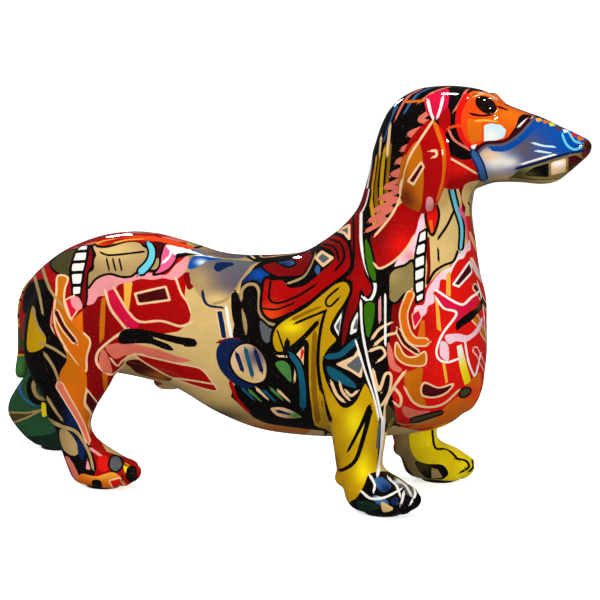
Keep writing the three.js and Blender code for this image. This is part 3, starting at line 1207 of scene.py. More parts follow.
@dataclass
class Film:
    """A printed sheet, laid on so that each triangle of a casting holds its own short stack of inks.

    A triangle keeps the ink that covers it whole and up to `depth` edges that cross it above that one,
    each as a colour, a signed distance to a line, and how far from that line the ink reaches. Marks are
    measured out to `sight`. One that stays more than `spread` off a triangle's corners doesn't touch it,
    and `margin` is how near to a triangle an edge counts as crossing it.
    """

    ground: Ink
    marks: list[Mark]
    projector: Projector
    curl: float
    depth: int = STACK
    margin: float = 0.3
    spread: float = 0.6
    sight: float = 2.5
    solid: float = 50.0

    def lay(self, points: np.ndarray, normals: np.ndarray, faces: np.ndarray) -> dict[str, np.ndarray]:
        """Works out the print on a casting.

        Args:
            points: The casting's points.
            normals: Their normals.
            faces: Its triangles.

        Returns:
            The whole ink and the stack over it, one row for each corner.
        """
        at = self.projector.sheet(points, normals, self.curl)
        under = np.tile(self.ground.light(), (len(faces), 3, 1))
        inks = np.zeros((self.depth, len(faces), 3, 3))
        lines = np.zeros((self.depth, len(faces), 3))
        reaches = np.full((self.depth, len(faces), 3), NOWHERE)
        count = np.zeros(len(faces), int)
        side, half = np.full(len(at), FAR), np.zeros(len(at))
        for mark in self.marks:
            near, gap, brush = mark.measure(at, self.sight)
            if not len(near):
                continue
            side[near], half[near] = gap, brush
            touched = np.zeros(len(at), bool)
            touched[near] = True
            rows = np.flatnonzero(touched[faces].all(1))
            corners = faces[rows]
            s, h = side[corners], half[corners]
            colour = mark.colour(at[corners].reshape(-1, 2)).reshape(-1, 3, 3)
            for ink, line, reach, out in mark.coats(colour, s, h, self.solid):
                crossed = (line - reach < self.margin).any(1) & (line + reach > -self.margin).any(1)
                crossed &= out.min(1) < self.spread
                whole = crossed & (np.abs(line) - reach < -self.margin).all(1)
                full = rows[whole]
                under[full], count[full] = ink[whole], 0
                reaches[:, full] = NOWHERE
                part = crossed & ~whole
                some = rows[part]
                packed = count[some] == self.depth
                old = some[packed]
                for store in (inks, lines, reaches):
                    store[:-1, old] = store[1:, old]
                count[old] -= 1
                level = count[some]
                inks[level, some], lines[level, some] = ink[part], line[part]
                reaches[level, some] = reach[part]
                count[some] += 1
        ones = np.ones((len(faces) * 3, 1))
        values = {"under": np.hstack([under.reshape(-1, 3), ones])}
        for level in range(self.depth):
            stack = np.hstack([inks[level].reshape(-1, 3), lines[level].reshape(-1, 1)])
            values[f"ink_{level}"], values[f"reach_{level}"] = stack, reaches[level].reshape(-1, 1)
        LOG.info("film: %.1f%% of triangles hold a full stack", 100 * np.mean(count == self.depth))
        return values


class Artwork:
    """The street-art print: bands, drips and brush strokes in bold inks with black and cream outlines, with a
    few painted highlights and painted shade on the shoulder, foreleg, brow and jaw.

    Every place is (across, up) in millimetres on the flat sheet, and later marks lie over earlier ones.
    """

    def grounds(self) -> list[Mark]:
        """The large fields of colour under everything else."""
        haunch = ((-165, 40), (-120, 60), (-56, 50), (-53, 24), (-57, 17), (-54, 10), (-55, 2), (-52, -7),
            (-53, -11), (-58, -15), (-68, -16.5), (-80, -21), (-84, -30), (-92, -43), (-99, -60),
            (-92, -72), (-74, -76), (-70, -110), (-165, -110))
        swirl = ((-28, 30), (12, 60), (30, 60), (52, 12), (49, -12), (44, -34), (50, -62), (14, -66),
            (-14, -60), (-22, -56), (-33, -46), (-30, -37), (-33, -22), (-30, -4), (-28, 8), (-20, 18))
        chest = ((44, -2), (52, 2), (60, 6), (66, 13), (74, 18), (80, 25), (80, 40), (110, 40), (110, -60),
            (60, -70), (46, -60), (42, -30))
        belly = (Mist(Ink.AMBER, (-16, -66), (60, 8)), Mist(Ink.OLIVE, (-40, -56), (16, 5)))
        crown = ((20, 50), (24, 130), (84, 130), (88, 98), (80, 92), (76, 82), (84, 72), (82, 56), (66, 54),
            (52, 56), (44, 40), (36, 32), (28, 36))
        return [
            blob(Ink.SAND, (-70, 60), (0, 60), (0, -80), (-80, -80), (-90, -30), (-70, 0),
                mists=(Mist(Ink.KHAKI, (-42, 22), (26, 15)), *belly)),
            facet(Ink.RED, *haunch, mists=(Mist(Ink.WINE, (-100, -20), (14, 40)),)),
            facet(Ink.BLACK, *swirl),
            facet(Ink.SCARLET, *chest, mists=(Mist(Ink.WINE, (46, 0), (12, 40)),)),
            facet(Ink.SAND, (52, 58), (58, 12), (70, 14), (78, 26), (80, 40), (76, 50), (96, 60)),
            facet(Ink.BLACK, *crown),
            blob(Ink.WINE, (20, 62), (31.5, 64), (31, 46), (30, 30), (31, 14), (24, 12), (24, 30),
                (14, 40)),
        ]

    def rump(self) -> list[Mark]:
        """The haunch's top: a tan cloud, a ladder of white blocks and ragged pink under them."""
        rails = (
            ((-104.5, 27), (-107, 22.8), (-108.8, 17.8), (-109.2, 12.8), (-108.6, 6.6), (-108.4, 1.5)),
            ((-100.8, 27), (-101.2, 23.2), (-101.8, 18.2), (-103.2, 13), (-104, 6.8), (-104.4, 2.4)),
        )
        pink = ((-101, 6), (-96, 11.5), (-90, 12.5), (-84, 11), (-72, 13), (-64, 12), (-59, 17), (-53, 21),
            (-54, 15), (-56, 12), (-60, 9.5), (-65, 10.4), (-70, 9.6), (-76, 10), (-81, 8.4), (-86, 7.4),
            (-88, 5.2), (-91, 4.6), (-93, 2), (-96, 1.6), (-98, -1.4), (-101, -2.4), (-102, -0.5))
        cloud = ((-97.6, 27.5), (-96.5, 25.6), (-92, 25.4), (-86, 27), (-80, 28.8), (-76.4, 28),
            (-74, 25.5), (-70, 24.5), (-66, 23), (-65.5, 18), (-69, 14), (-75, 14.6), (-78, 13),
            (-80.5, 11.2), (-85, 11), (-91, 12.4), (-97, 10.2), (-101, 5.5), (-102, 9), (-101, 13),
            (-98.6, 15), (-98.8, 19), (-97.6, 21.5), (-99, 25))
        return [
            blob(Ink.CORAL, (-112, 24), (-104, 27.5), (-97, 30.5), (-98, 28), (-104, 25)),
            blob(Ink.VERMILION, (-98, 27), (-92, 33), (-80, 36), (-66, 35), (-52, 30), (-50, 27), (-58, 28),
                (-68, 29.8), (-76, 30.4), (-86, 27.6), (-93, 26), mists=(Mist(Ink.RED, (-88, 30),
                (8, 6)),)),
            stroke(Ink.GOLD, (-88, 27.5), (-82, 30.5), (-75, 31.6), w=1.6, end=0.9),
            stroke(Ink.GOLD, (-97, 27.5), (-94, 30), (-88, 32), w=1.8, end=0.8),
            blob(Ink.OLIVE, (-119, 17), (-115, 22), (-108, 25), (-106.5, 23), (-108.6, 18), (-109.6, 13),
                (-108.5, 9), (-112, 11.6), (-116, 13), rim=Ink.BLACK),
            blob(Ink.PINK, *pink),
            blob(Ink.TAN, *cloud, rim=Ink.BLACK, edge=0.55, mists=(Mist(Ink.SAND, (-90, 24), (14, 5)),)),
            stroke(Ink.BLACK, (-94.6, 22.5), (-91, 21.3), (-83, 22), (-74.5, 23), w=1.0),
            *(stroke(Ink.BLACK, (-92 + 3 * k, 19), (-91 + 3 * k, 14.6), w=0.9) for k in range(3)),
            blob(Ink.WINE, (-99.6, 27), (-98.4, 21.6), (-99, 16), (-101, 12.6), (-101.4, 6), (-101.6, 0),
                (-103, -3.4), (-105, 2), (-103.6, 8), (-102.8, 14), (-101.4, 20), rim=Ink.BLACK),
            *ladder(Ink.IVORY, *rails, Ink.BLACK),
            blob(Ink.MAROON, (-70, 29), (-66, 30), (-63, 28.6), (-64, 23), (-66, 20), (-69, 21)),
            blob(Ink.BERRY, (-64, 27.5), (-60.4, 26), (-58.4, 22), (-60, 17.4), (-64, 13.6), (-70, 12),
                (-67, 16), (-66.4, 21), rim=Ink.BLACK, edge=0.5),
            stroke(Ink.CYAN, (-75.4, 13.8), (-71.6, 18), (-70.4, 23), (-72, 27.4), w=4.2, end=3.4,
                rim=Ink.BLACK),
            stroke(Ink.IVORY, (-65, 18), (-62, 21), (-61.4, 24), w=1.4, end=0.8),
        ]

    def haunch(self) -> list[Mark]:
        """The side of the haunch: curved bands, slots and long vertical stripes."""
        band = ((-115.4, 11.4), (-110.6, 10.6), (-112, 5), (-112.2, -1), (-110, -7.6), (-105, -14),
            (-100, -19.4), (-101.6, -27), (-102, -34), (-107, -29.6), (-112, -22), (-116.4, -13),
            (-117, -4), (-116, 4))
        fold = ((-88.4, 5.5), (-84.6, -1), (-81, -6.5), (-76, -10.4), (-66, -10), (-57, -12.5),
            (-51.8, -10.6))
        edge = ((-92.6, 4), (-90, -4.5), (-82.6, -14), (-90, -19), (-96, -24.6), (-96.8, -30), (-93, -34.5))
        return [
            blob(Ink.AMBER, *band, rim=Ink.CREAM, mists=(Mist(Ink.ORANGE, (-107, -24), (7, 6)),)),
            facet(Ink.ROSE, (-112, 0), (-107.5, 2.2), (-105.4, -4), (-109, -9.6), rim=Ink.CREAM, edge=0.35),
            facet(Ink.ORANGE, (-109, -10), (-103.6, -5), (-103.2, -17.4), (-106.4, -14)),
            blob(Ink.PINK, (-109, 1), (-105.6, 1.4), (-103.6, -3), (-106, -5), (-108.6, -2.6)),
            stroke(Ink.MAROON, (-116, -6), (-112.8, -12.6), (-107.6, -19.4), w=2.6, rim=Ink.CREAM,
                edge=0.4),
            facet(Ink.GOLD, (-84, 8), (-79.7, 8.6), (-81.6, -6.2), (-83.6, -3)),
            facet(Ink.AMBER, (-94.6, 0.6), (-92.4, 2), (-93.2, -18), (-95.6, -21.4), (-95.4, -10)),
            facet(Ink.ROSE, (-92.4, 3.6), (-88.6, 5.4), (-84.6, -1), (-81, -6.6), (-76, -10.6), (-79, -16),
                (-84.6, -17.5), (-82.6, -14), (-90, -4.6)),
            stroke(Ink.CREAM, *fold, w=1.2),
            stroke(Ink.CREAM, *edge[:3], w=1.3),
            stroke(Ink.CREAM, *edge[2:], w=1.3),
            facet(Ink.MAROON, (-78.6, 3), (-64, 6.4), (-62, 0), (-77, -2), rim=Ink.CREAM, edge=0.55),
            stroke(Ink.CREAM, (-59, 10), (-56.5, 3), (-53.4, -1.5), (-52, -6), w=1.2, end=0.8),
            blob(Ink.WINE, (-55.5, 12.4), (-52.6, 13), (-52, 8), (-50.6, 6.6), (-53, 4.8), (-54.6, 8)),
            blob(Ink.CORAL, (-122, -3), (-119, -1.4), (-118, -6), (-118, -12), (-120.4, -10), (-122.4, -7)),
            stroke(Ink.CREAM, (-118.6, -13), (-115.6, -20), (-110.6, -25), (-107, -29.6), w=1.2),
            stroke(Ink.CORAL, (-119, -15), (-116.4, -20.4), (-113, -23), w=2.2, end=1.0),
            blob(Ink.CORAL, (-92.4, -21.8), (-84, -20.4), (-76, -21.6), (-68, -23.4), (-60, -26.4),
                (-51.6, -29), (-60, -29.6), (-68, -28), (-76, -26.4), (-83, -26.4), (-87.6, -28),
                (-91, -25.6)),
            blob(Ink.CORAL, (-95.6, -27), (-93.6, -23.4), (-91, -28), (-89.4, -34.6), (-92.4, -35.4),
                (-95.4, -31.6)),
            stroke(Ink.CREAM, (-90, -28), (-87, -31.4), (-84.6, -29), (-80, -26.2), (-75, -26), w=0.9),
            stroke(Ink.CREAM, (-92.6, -35.2), (-88.6, -35.2), (-84, -31), w=0.9),
            facet(Ink.AMBER, (-94.4, -34), (-91.6, -36), (-91.6, -43.6), (-93.4, -43)),
            blob(Ink.BLACK, (-86, -20.6), (-85, -14.8), (-78, -13.6), (-68, -15.4), (-58, -17.4),
                (-50.4, -18.6), (-49.6, -22), (-56, -22), (-63, -20.4), (-60, -23.8), (-64, -23.6),
                (-71, -21), (-78, -20.6)),
            stroke(Ink.SAND, (-69, -18.2), (-62, -20.6), (-56, -22.2), w=0.8, end=1.6),
            blob(Ink.MAROON, (-83, -30), (-76, -28.6), (-66, -33.6), (-61, -37.4), (-67, -40.4),
                (-76, -38.4), mists=(Mist(Ink.AMBER, (-68, -37), (5, 3)),)),
            blob(Ink.RED, (-79, -25.6), (-70, -27.6), (-58, -30.4), (-47.6, -32.6), (-42.6, -38),
                (-39.6, -43.4), (-50, -41), (-61, -37), (-70, -32.2), (-76, -28.4), rim=Ink.CREAM,
                edge=0.4),
            stroke(Ink.CREAM, (-60, -37.2), (-51, -38.4), (-41.6, -40), w=0.9),
        ]

    def hind_leg(self) -> list[Mark]:
        """The near hind leg: an orange front, and open cream curls on a black rear edge."""
        rear = ((-134, 2), (-122, 10), (-117.6, 2), (-119, -12), (-114, -20), (-111, -28), (-114.6, -36),
            (-112.4, -46), (-106, -56), (-101, -66), (-98, -75), (-97.4, -82), (-104, -89), (-110, -84),
            (-120, -72), (-134, -60), (-134, -30))
        curls = (
            ((-122.6, 15), (-119, 5), (-113, -3)),
            ((-126.4, 11), (-124, 2), (-122.6, -6)),
            ((-127, -4), (-125.6, -11), (-122.4, -16.6)),
            ((-123.4, -20.4), (-117, -23.4), (-111.8, -27)),
            ((-121.4, -26), (-117.4, -32), (-114.4, -40)),
            ((-120, -47), (-117, -52), (-113.4, -57)),
        )
        return [
            blob(Ink.ORANGE, (-114.4, -31), (-112, -24), (-106.6, -30), (-102, -34.6), (-101.6, -44),
                (-102.4, -50), (-99, -56), (-99.4, -64), (-104, -57), (-110, -47), (-114.4, -41),
                mists=(Mist(Ink.AMBER, (-110, -32), (7, 12)), Mist(Ink.AMBER, (-101, -56), (4, 9)))),
            stroke(Ink.CREAM, (-101.6, -42.6), (-102.6, -49.6), (-99.6, -54), (-99.6, -60), w=1.0),
            facet(Ink.MAROON, (-101.6, -42.4), (-95.6, -50), (-98.6, -55), (-102.4, -49), rim=Ink.CREAM,
                edge=0.4),
            blob(Ink.BLACK, *rear, mists=(Mist(Ink.NAVY, (-108, -54), (4, 12)),)),
            blob(Ink.MUSTARD, (-128, -3), (-124.4, -12), (-121, -18), (-122.6, -23), (-130, -23.4)),
            *(stroke(Ink.TAN, *curl, w=1.6, end=1.1) for curl in curls),
            stroke(Ink.CORAL, (-114.4, -41), (-110.4, -48), (-104.6, -58), (-101, -67), w=3.6, end=2.2,
                rim=Ink.CREAM, edge=0.3),
            stroke(Ink.TAN, (-124, -51), (-121.4, -56), (-114, -60), (-106.4, -63), (-100.8, -72),
                (-98.6, -80), w=2.2, end=1.2),
            blob(Ink.TAN, (-114.4, -62), (-110.6, -62.4), (-106.4, -68), (-105.6, -73), (-109, -74),
                (-113.4, -70)),
            blob(Ink.NAVY, (-106, -66), (-102.6, -70), (-103, -76), (-105.4, -74)),
            stroke(Ink.CORAL, (-111, -76), (-108, -81), (-106, -87), w=3.0),
            facet(Ink.PINK, (-101.4, -75), (-99.6, -81), (-102, -80.6)),
            stroke(Ink.PINK, (-99.4, -71), (-94, -75), (-91, -79.6), w=1.4),
            blob(Ink.SCARLET, (-96, -75), (-92, -74.4), (-90.4, -79), (-93.4, -82), (-96, -80)),
            blob(Ink.GREY, (-89.6, -74), (-85.6, -74.4), (-84.4, -79), (-88, -82), (-91, -79),
                rim=Ink.BLACK),
            blob(Ink.ORANGE, (-104.6, -83), (-97, -84), (-89, -82), (-84, -86), (-80, -92), (-95, -94),
                (-107, -91), mists=(Mist(Ink.GOLD, (-94, -83), (7, 2.4)),)),
            blob(Ink.YELLOW, (-84, -77.6), (-81, -79), (-80.4, -83), (-83.4, -82)),
            blob(Ink.BLACK, (-81.6, -79), (-78, -80), (-78, -87), (-82, -86), (-83, -83)),
            facet(Ink.SCARLET, (-91, -86), (-85.6, -84.6), (-83.4, -89), (-89, -90), rim=Ink.CREAM,
                edge=0.35),
            blob(Ink.BLACK, (-99, -86), (-95, -86), (-94.6, -90), (-98, -91)),
        ]

    def flank(self) -> list[Mark]:
        """The flank: a grey dome over sand, a barred disc and dashes on black."""
        disc = ((-33.4, -28), (-30, -22), (-24, -20.6), (-18.4, -24.6), (-15.6, -31), (-16.6, -38),
            (-22, -40), (-28.6, -37.4), (-32.4, -33))
        dashes = [
            stroke((Ink.TEAL, Ink.LEAF, Ink.CREAM)[k % 3], (-27 + 3.4 * k, -42.6 - 0.9 * (k % 2)),
                   (-22.4 + 3.4 * k, -47 - 0.9 * (k % 2)), w=1.5, end=0.9)
            for k in range(6)
        ]
        return [
            blob(Ink.IVORY, (-64, 28), (-54, 26.6), (-44, 24), (-36, 22.6), (-46, 21), (-53, 22),
                (-60, 21.6)),
            stroke(Ink.BLACK, (-58, 21), (-54, 21.8), (-49.6, 22.4), w=2.4, end=1.0),
            stroke(Ink.STEEL, (-51, 26.4), (-44.6, 23.8), w=2.0, end=1.2),
            blob(Ink.MAUVE, (-52.4, 14), (-46, 17.6), (-38, 22), (-28, 22), (-20, 19.6), (-26, 12),
                (-31, 5), (-35, 0.4), (-40, -1.6), (-46, 0), (-51, 7), mists=(Mist(Ink.TAN, (-49, 8),
                (9, 11)), Mist(Ink.GREY, (-33, 19), (12, 6)), Mist(Ink.SAND, (-40, 0), (8, 4)))),
            stroke(Ink.TAN, (-20, 19.4), (-26, 12), (-30.6, 5), (-35.4, 0), (-41, -1.8), w=1.3),
            blob(Ink.BLUE, (-53.4, 15), (-51.6, 20), (-47, 22), (-40, 23), (-36, 22.4), (-42, 20),
                (-46, 17.4), (-50, 15.2), mists=(Mist(Ink.ICE, (-47, 18), (2.4, 1.4)),)),
            blob(Ink.NAVY, (-41, 15.6), (-38.6, 18.6), (-33, 19.4), (-31.4, 17), (-35, 15.4), (-39, 13.4)),
            stroke(Ink.NAVY, (-46.4, 3.4), (-45.4, -0.6), (-43, -2.8), (-37, -3.6), w=1.5, end=0.9),
            facet(Ink.NAVY, (-40, -5), (-38.6, -12), (-37.6, -18), (-34.6, -19), (-35.6, -12), (-37, -5),
                rim=Ink.CREAM, edge=0.3),
            stroke(Ink.IVORY, (-35, -4), (-34, -11), (-32.6, -18), w=1.6),
            stroke(Ink.WINE, (-38.4, -20), (-32, -18.6), (-26, -19.6), w=1.6),
            stroke(Ink.BLACK, (-31, 2), (-30.4, -8), (-26.6, -19), w=3.6),
            blob(Ink.NAVY, (-28, 8), (-24, 13), (-19, 15.4), (-14.6, 13), (-17, 7), (-21.6, 9.6),
                mists=(Mist(Ink.BLUE, (-19, 12), (5, 3)),)),
            blob(Ink.TAN, (-28.4, -1.6), (-26, -6), (-24.6, -12), (-25.4, -19), (-27.6, -12),
                rim=Ink.BLACK),
            stroke(Ink.TAN, (-28, 0.6), (-27.6, 4.8), (-24.6, 7.4), (-21, 7), (-19.4, 3), (-19.4, -5),
                (-16.6, -10), (-11.6, -12), w=1.5),
            blob(Ink.GREY, (-19.6, -9), (-15, -12.4), (-12.4, -14.6), (-15, -21), (-18.6, -18),
                rim=Ink.BLACK),
            oval(Ink.NAVY, (-28.6, -30), (13.4, 9.4), -48),
            blob(Ink.CREAM, *disc, rim=Ink.BLACK, edge=0.5, mists=(Mist(Ink.MAUVE, (-21, -27), (7, 6)),
                Mist(Ink.SAND, (-26, -37), (8, 4)))),
            stroke(Ink.NAVY, (-30, -26), (-27.6, -33), w=2.0),
            stroke(Ink.TEAL, (-25.8, -24), (-22.8, -35.6), w=2.0),
            stroke(Ink.NAVY, (-21.2, -24.6), (-18.4, -33.4), w=2.0),
            stroke(Ink.RED, (-33, -39.6), (-30, -47), (-24.6, -53), w=2.0, end=1.2),
            *dashes,
            blob(Ink.CREAM, (-14.6, -51.4), (-9, -50.6), (-3, -52.6), (1.4, -56), (-5, -56.8),
                (-11.4, -55.4), rim=Ink.BLACK, mists=(Mist(Ink.LEAF, (-2, -55), (4, 2)),)),
            stroke(Ink.NAVY, (-10.4, -53), (-5, -54.4), w=1.6, end=0.9),
            blob(Ink.LEAF, (-12, -29.4), (-8, -28.4), (-4.6, -31), (-3.6, -36), (-4, -40), (-8, -36.4),
                (-11.6, -32), rim=Ink.BLACK),
            stroke(Ink.CREAM, (-10, -26.8), (-4.6, -27.4), (-2.2, -32), (-2.6, -38), w=1.0),
        ]

    def swirl(self) -> list[Mark]:
        """The red tongues over the shoulder, each with a black contour."""
        tongue = ((-17, 10), (-18.6, 0), (-18, -6), (-14, -9.6), (-9, -8.4), (-2, -5), (6, 0), (12, 5),
            (18, 9.4), (24, 15), (24.4, 22), (22, 28.6), (16, 31.6), (11, 30), (9, 26), (14, 23.4),
            (15.6, 19.6), (8.6, 13), (2, 7.6), (-5, 6.6), (-8, 10), (-13, 10))
        return [
            blob(Ink.WINE, (-18, 15.6), (-14, 19.6), (-6, 22), (4, 25), (6, 20), (5, 14), (0, 11.4),
                (-6, 11), (-12, 11.4), rim=Ink.BLACK),
            blob(Ink.STEEL, (-11, 20), (-4.4, 20.6), (-2, 17.2), (-6, 15.6), (-9.6, 17.4), rim=Ink.BLACK,
                mists=(Mist(Ink.NAVY, (-8, 17), (4, 3)),)),
            blob(Ink.RED, *tongue, rim=Ink.BLACK, edge=0.7, mists=(Mist(Ink.WINE, (18, 24), (12, 8)),
                Mist(Ink.VERMILION, (-14, -7), (6, 5)))),
            stroke(Ink.BLACK, (-14, 8.6), (-14.6, 0.6), (-10, -1.4), (-1, 2), (7, 7), w=1.1),
            stroke(Ink.BLACK, (-17.6, -4), (-11, -4.4), (-3, -1.4), w=0.9),
            stroke(Ink.BLACK, (14.6, 28.8), (19.6, 26.6), (21, 20), (17, 14.4), w=1.1),
            stroke(Ink.BLACK, (11, 26.6), (16.4, 25), (18.4, 19.4), w=1.1),
            stroke(Ink.TAN, (-5.4, 8), (1.6, 11), (5, 16), (7.4, 22), w=2.0, end=1.4, rim=Ink.BLACK,
                edge=0.4),
            facet(Ink.GREY, (7.6, 20), (10.4, 23), (15.4, 20), (11, 16.4), rim=Ink.CREAM, edge=0.7),
            blob(Ink.STEEL, (7, 14), (8.8, 12), (9.6, 15.4), (8, 16.6)),
            facet(Ink.GREY, (17.6, 33), (23.4, 35.6), (23.4, 29), (21, 32), rim=Ink.CREAM, edge=0.6),
            blob(Ink.WINE, (24.6, 70), (30, 70), (30.4, 30), (31, 14), (33.6, 8.6), (34.6, 4), (31, 1),
                (29, 4.6), (28, -3), (24, -12), (21.6, -21), (19.4, -22), (20.4, -10), (23, 0), (24.6, 8),
                (21, 10.4), (25, 15), (25.6, 30), rim=Ink.BLACK, mists=(Mist(Ink.RED, (29, 8), (6, 9)),)),
        ]

    def limb(self) -> list[Mark]:
        """The long yellow shape that runs down the shoulder into the foreleg, and what lies beside it."""
        yellow = ((22, 9), (24.4, 5), (22, -1), (17.4, -8), (15, -14), (18, -19), (13.6, -24), (11.4, -30),
            (13, -38), (17, -46), (21, -50.6), (26, -48), (31, -39), (35, -46), (38, -54), (38, -70),
            (36.4, -86), (32, -92), (25, -99), (18, -92), (12, -80), (12, -66), (6.4, -60), (4.6, -50),
            (3.6, -40), (3.4, -28), (3, -20), (-2, -21), (-8, -25), (-12, -24.4), (-13.6, -19), (-12, -13),
            (-7, -8.6), (2, -3.4), (10, 3), (17, 8.4))
        return [
            # The three yellow mists on the mustard shape are painted highlights, and the ochre mist low on
            # the leg is painted shade.
            blob(Ink.MUSTARD, *yellow, rim=Ink.BLACK, edge=0.75, mists=(Mist(Ink.YELLOW, (-4, -13), (5, 3)),
                Mist(Ink.YELLOW, (26, -58), (5, 8)), Mist(Ink.YELLOW, (30, -80), (4, 7)), Mist(Ink.OCHRE,
                (16, -78), (3, 6)))),
            # The two ochre strokes are painted shade in the yellow: the short one at the shoulder, the long
            # one a painted shadow down the leg.
            stroke(Ink.OCHRE, (-3, -9), (3, -6), (9, -3.6), w=1.8, end=1.2),
            stroke(Ink.OCHRE, (7, -16), (6.4, -38), (8.4, -57), w=2.2, end=2.8),
            stroke(Ink.BLACK, (-2, -11), (5, -8), (12, -5.2), w=1.2),
            stroke(Ink.BLACK, (12, -5.4), (10, -13), (8.8, -22), (8.6, -32), (10, -42), (12, -50),
                (14.4, -57), w=1.4, end=2.0),
            stroke(Ink.BLACK, (8, -11), (3, -16.6), (-3, -22), (-7, -25), w=2.2),
            stroke(Ink.BLACK, (-6, -20), (-6.6, -25), w=2.6, end=3.0),
            stroke(Ink.BLACK, (-10.6, -15), (-9, -20), (-7.4, -24.6), w=0.9),
            stroke(Ink.BLACK, (18, 5.4), (13, 1), (12.4, -2), (14.4, -3), (18.4, 0.8), w=1.0),
            facet(Ink.CREAM, (-2.4, -26), (2.4, -20.6), (2, -34), rim=Ink.BLACK, edge=0.4),
            stroke(Ink.TEAL, (-4, -26.4), (-0.4, -32), (1.2, -41), (1.4, -50), w=3.4, end=4.2,
                rim=Ink.BLACK),
            stroke(Ink.SCARLET, (1.2, -24.6), (0.6, -27.6), w=1.6, end=0.8),
            facet(Ink.IVORY, (21.6, -1.4), (15.4, -12.6), (18.6, -19), (20, -10), rim=Ink.BLACK, edge=0.5),
            facet(Ink.GREY, (19.4, -8.4), (17, -12.6), (18.4, -16)),
            facet(Ink.IVORY, (28.4, -2.4), (24, -11), (23, -17.6), (27.6, -15.4), rim=Ink.BLACK, edge=0.5),
            facet(Ink.GREY, (27.4, -7), (25.2, -13.8), (27.4, -14)),
            stroke(Ink.TEAL, (13.6, -27), (18.6, -26.2), (22.6, -23.2), (26, -20), w=3.6, rim=Ink.BLACK,
                edge=0.4),
            blob(Ink.TEAL, (12.6, -31), (18, -33), (25.6, -38.6), (27, -42.4), (21.6, -41), (16, -38.4),
                (13, -35), rim=Ink.BLACK, edge=0.4),
            facet(Ink.CREAM, (16.6, -30.6), (25.6, -26.6), (28, -22.4), (30, -30), (29.4, -37.6),
                (24, -34)),
            facet(Ink.GREY, (21.8, -31.2), (28, -26.4), (29.8, -31), (28, -35)),
            stroke(Ink.CREAM, (15, -39.4), (17.4, -45), (20.4, -48), w=1.5),
            stroke(Ink.CREAM, (19, -40), (20.4, -44), (23, -47), w=1.3),
            stroke(Ink.CREAM, (22, -43.4), (24.4, -45.6), (27, -43.6), w=1.3),
            stroke(Ink.BLACK, (33, -51), (30, -58), (26, -66), (23, -71.6), w=2.2, end=1.2),
            stroke(Ink.BLACK, (33.4, -53), (30.6, -64), (26.6, -76), (21, -80.6), (18, -81), w=2.4,
                end=1.4),
            stroke(Ink.BLACK, (11, -64), (14, -68), w=2.2, end=1.4),
            stroke(Ink.IVORY, (29.6, 70), (29, 38), (29.4, 25), (32, 14), (35.6, 8), (35.2, 3), (33, -0.4),
                (30.4, 1), w=1.4),
            blob(Ink.GREEN, (30.6, 29.4), (33, 27), (35.4, 18), (36.6, 9.4), (34, 9.6), (31.2, 18),
                rim=Ink.BLACK, edge=0.4),
            blob(Ink.GREEN, (30.4, -2), (35.6, -1.4), (35.4, -10), (32.4, -19), (30.6, -12), rim=Ink.BLACK,
                edge=0.4),
            stroke(Ink.IVORY, (29, -1), (29.6, -14), (32.4, -29), (36, -43), (38.8, -56), w=1.2),
            stroke(Ink.IVORY, (26.6, -19.6), (31, -34), (35.4, -47), (37.4, -56), w=1.0),
        ]

    def scrawl(self) -> list[Mark]:
        """Open cream arcs and zigzags on black, which spell nothing."""
        lines = (
            ((34.6, -18), (38, -13.6), (43, -11)),
            ((36, -21), (41, -17), (47.6, -15.4)),
            ((33.8, -24), (38.6, -22.6), (40.6, -26), (37.4, -29)),
            ((35, -34), (37.6, -43), (40.6, -35.4), (43.4, -36), (42.4, -44), (39, -50)),
            ((49.6, -34.6), (45, -41), (41, -49), (40, -59)),
            ((45, -42), (48, -46), (47.6, -50.6), (45, -49)),
        )
        return [
            *(stroke(Ink.CREAM, *line, w=1.5, end=1.2) for line in lines),
            stroke(Ink.PINK, (38, 0), (38, -9.6), w=1.4),
            stroke(Ink.IVORY, (40.6, 2), (40.6, -21), w=1.1),
            blob(Ink.OLIVE, (41, -50), (44, -52), (46, -57), (43, -60), (41, -58)),
        ]

    def neck(self) -> list[Mark]:
        """The neck: yellow drips on black, a ragged pink fringe and a red cloak."""
        fringe = ((66, 92), (57, 86), (63, 84), (52, 79), (60, 77), (49, 72), (57.5, 71), (46.5, 66),
            (54.5, 65), (44, 60), (51.5, 59), (41, 54), (49, 53), (38.5, 48.5), (46.5, 48), (36, 43),
            (44, 43.5), (33.5, 38), (41, 38.5), (32, 33))
        cloak = ((33.6, 29), (36.4, 33), (41, 38), (46, 44), (53, 50), (60, 52), (57, 38), (54, 28),
            (48, 20.4), (40.6, 15.6), (36.8, 16.4), (35.2, 22))
        return [
            *(stroke(Ink.OCHRE if k % 2 else Ink.MUSTARD, (34.6 + 2.8 * k, 68 + 2 * k),
                (33.4 + 2.6 * k, 52), (35.4 + 2.2 * k, 36.4 + 2.2 * k), w=1.5, end=2.0) for k in range(4)),
            stroke(Ink.CREAM, (36.4, 77), (36.8, 69), w=2.0, end=1.2),
            stroke(Ink.CREAM, (42.4, 83), (41.6, 69), w=2.2, end=1.2),
            stroke(Ink.CORAL, *fringe, w=2.3, end=2.0),
            blob(Ink.RED, *cloak, mists=(Mist(Ink.WINE, (37, 30), (9, 9)), Mist(Ink.SCARLET, (48, 26),
                (7, 7)))),
            stroke(Ink.CREAM, (62.6, 85), (55, 71), (48.8, 52), (44, 41), (36, 31), w=1.2),
            blob(Ink.BLUSH, (45, 15.6), (50, 17), (54.6, 22), (57, 28), (59, 33), (58.6, 42), (56.6, 38),
                (54.6, 31), (50.4, 24.4), (47, 20), mists=(Mist(Ink.PINK, (52, 21), (3, 3)),)),
            stroke(Ink.CREAM, (35.6, 17), (38, 15), (44, 18), (50, 23.6), (54, 30), w=1.1),
            blob(Ink.KHAKI, (42.4, 12), (45, 15), (50, 16.6), (54, 18.6), (54.6, 8), (54, 3.6), (50, 3),
                (46, -1.4), (42.4, 0), (42, 6), rim=Ink.BLACK, edge=0.6, mists=(Mist(Ink.TAN, (44, 12),
                (4, 4)),)),
        ]

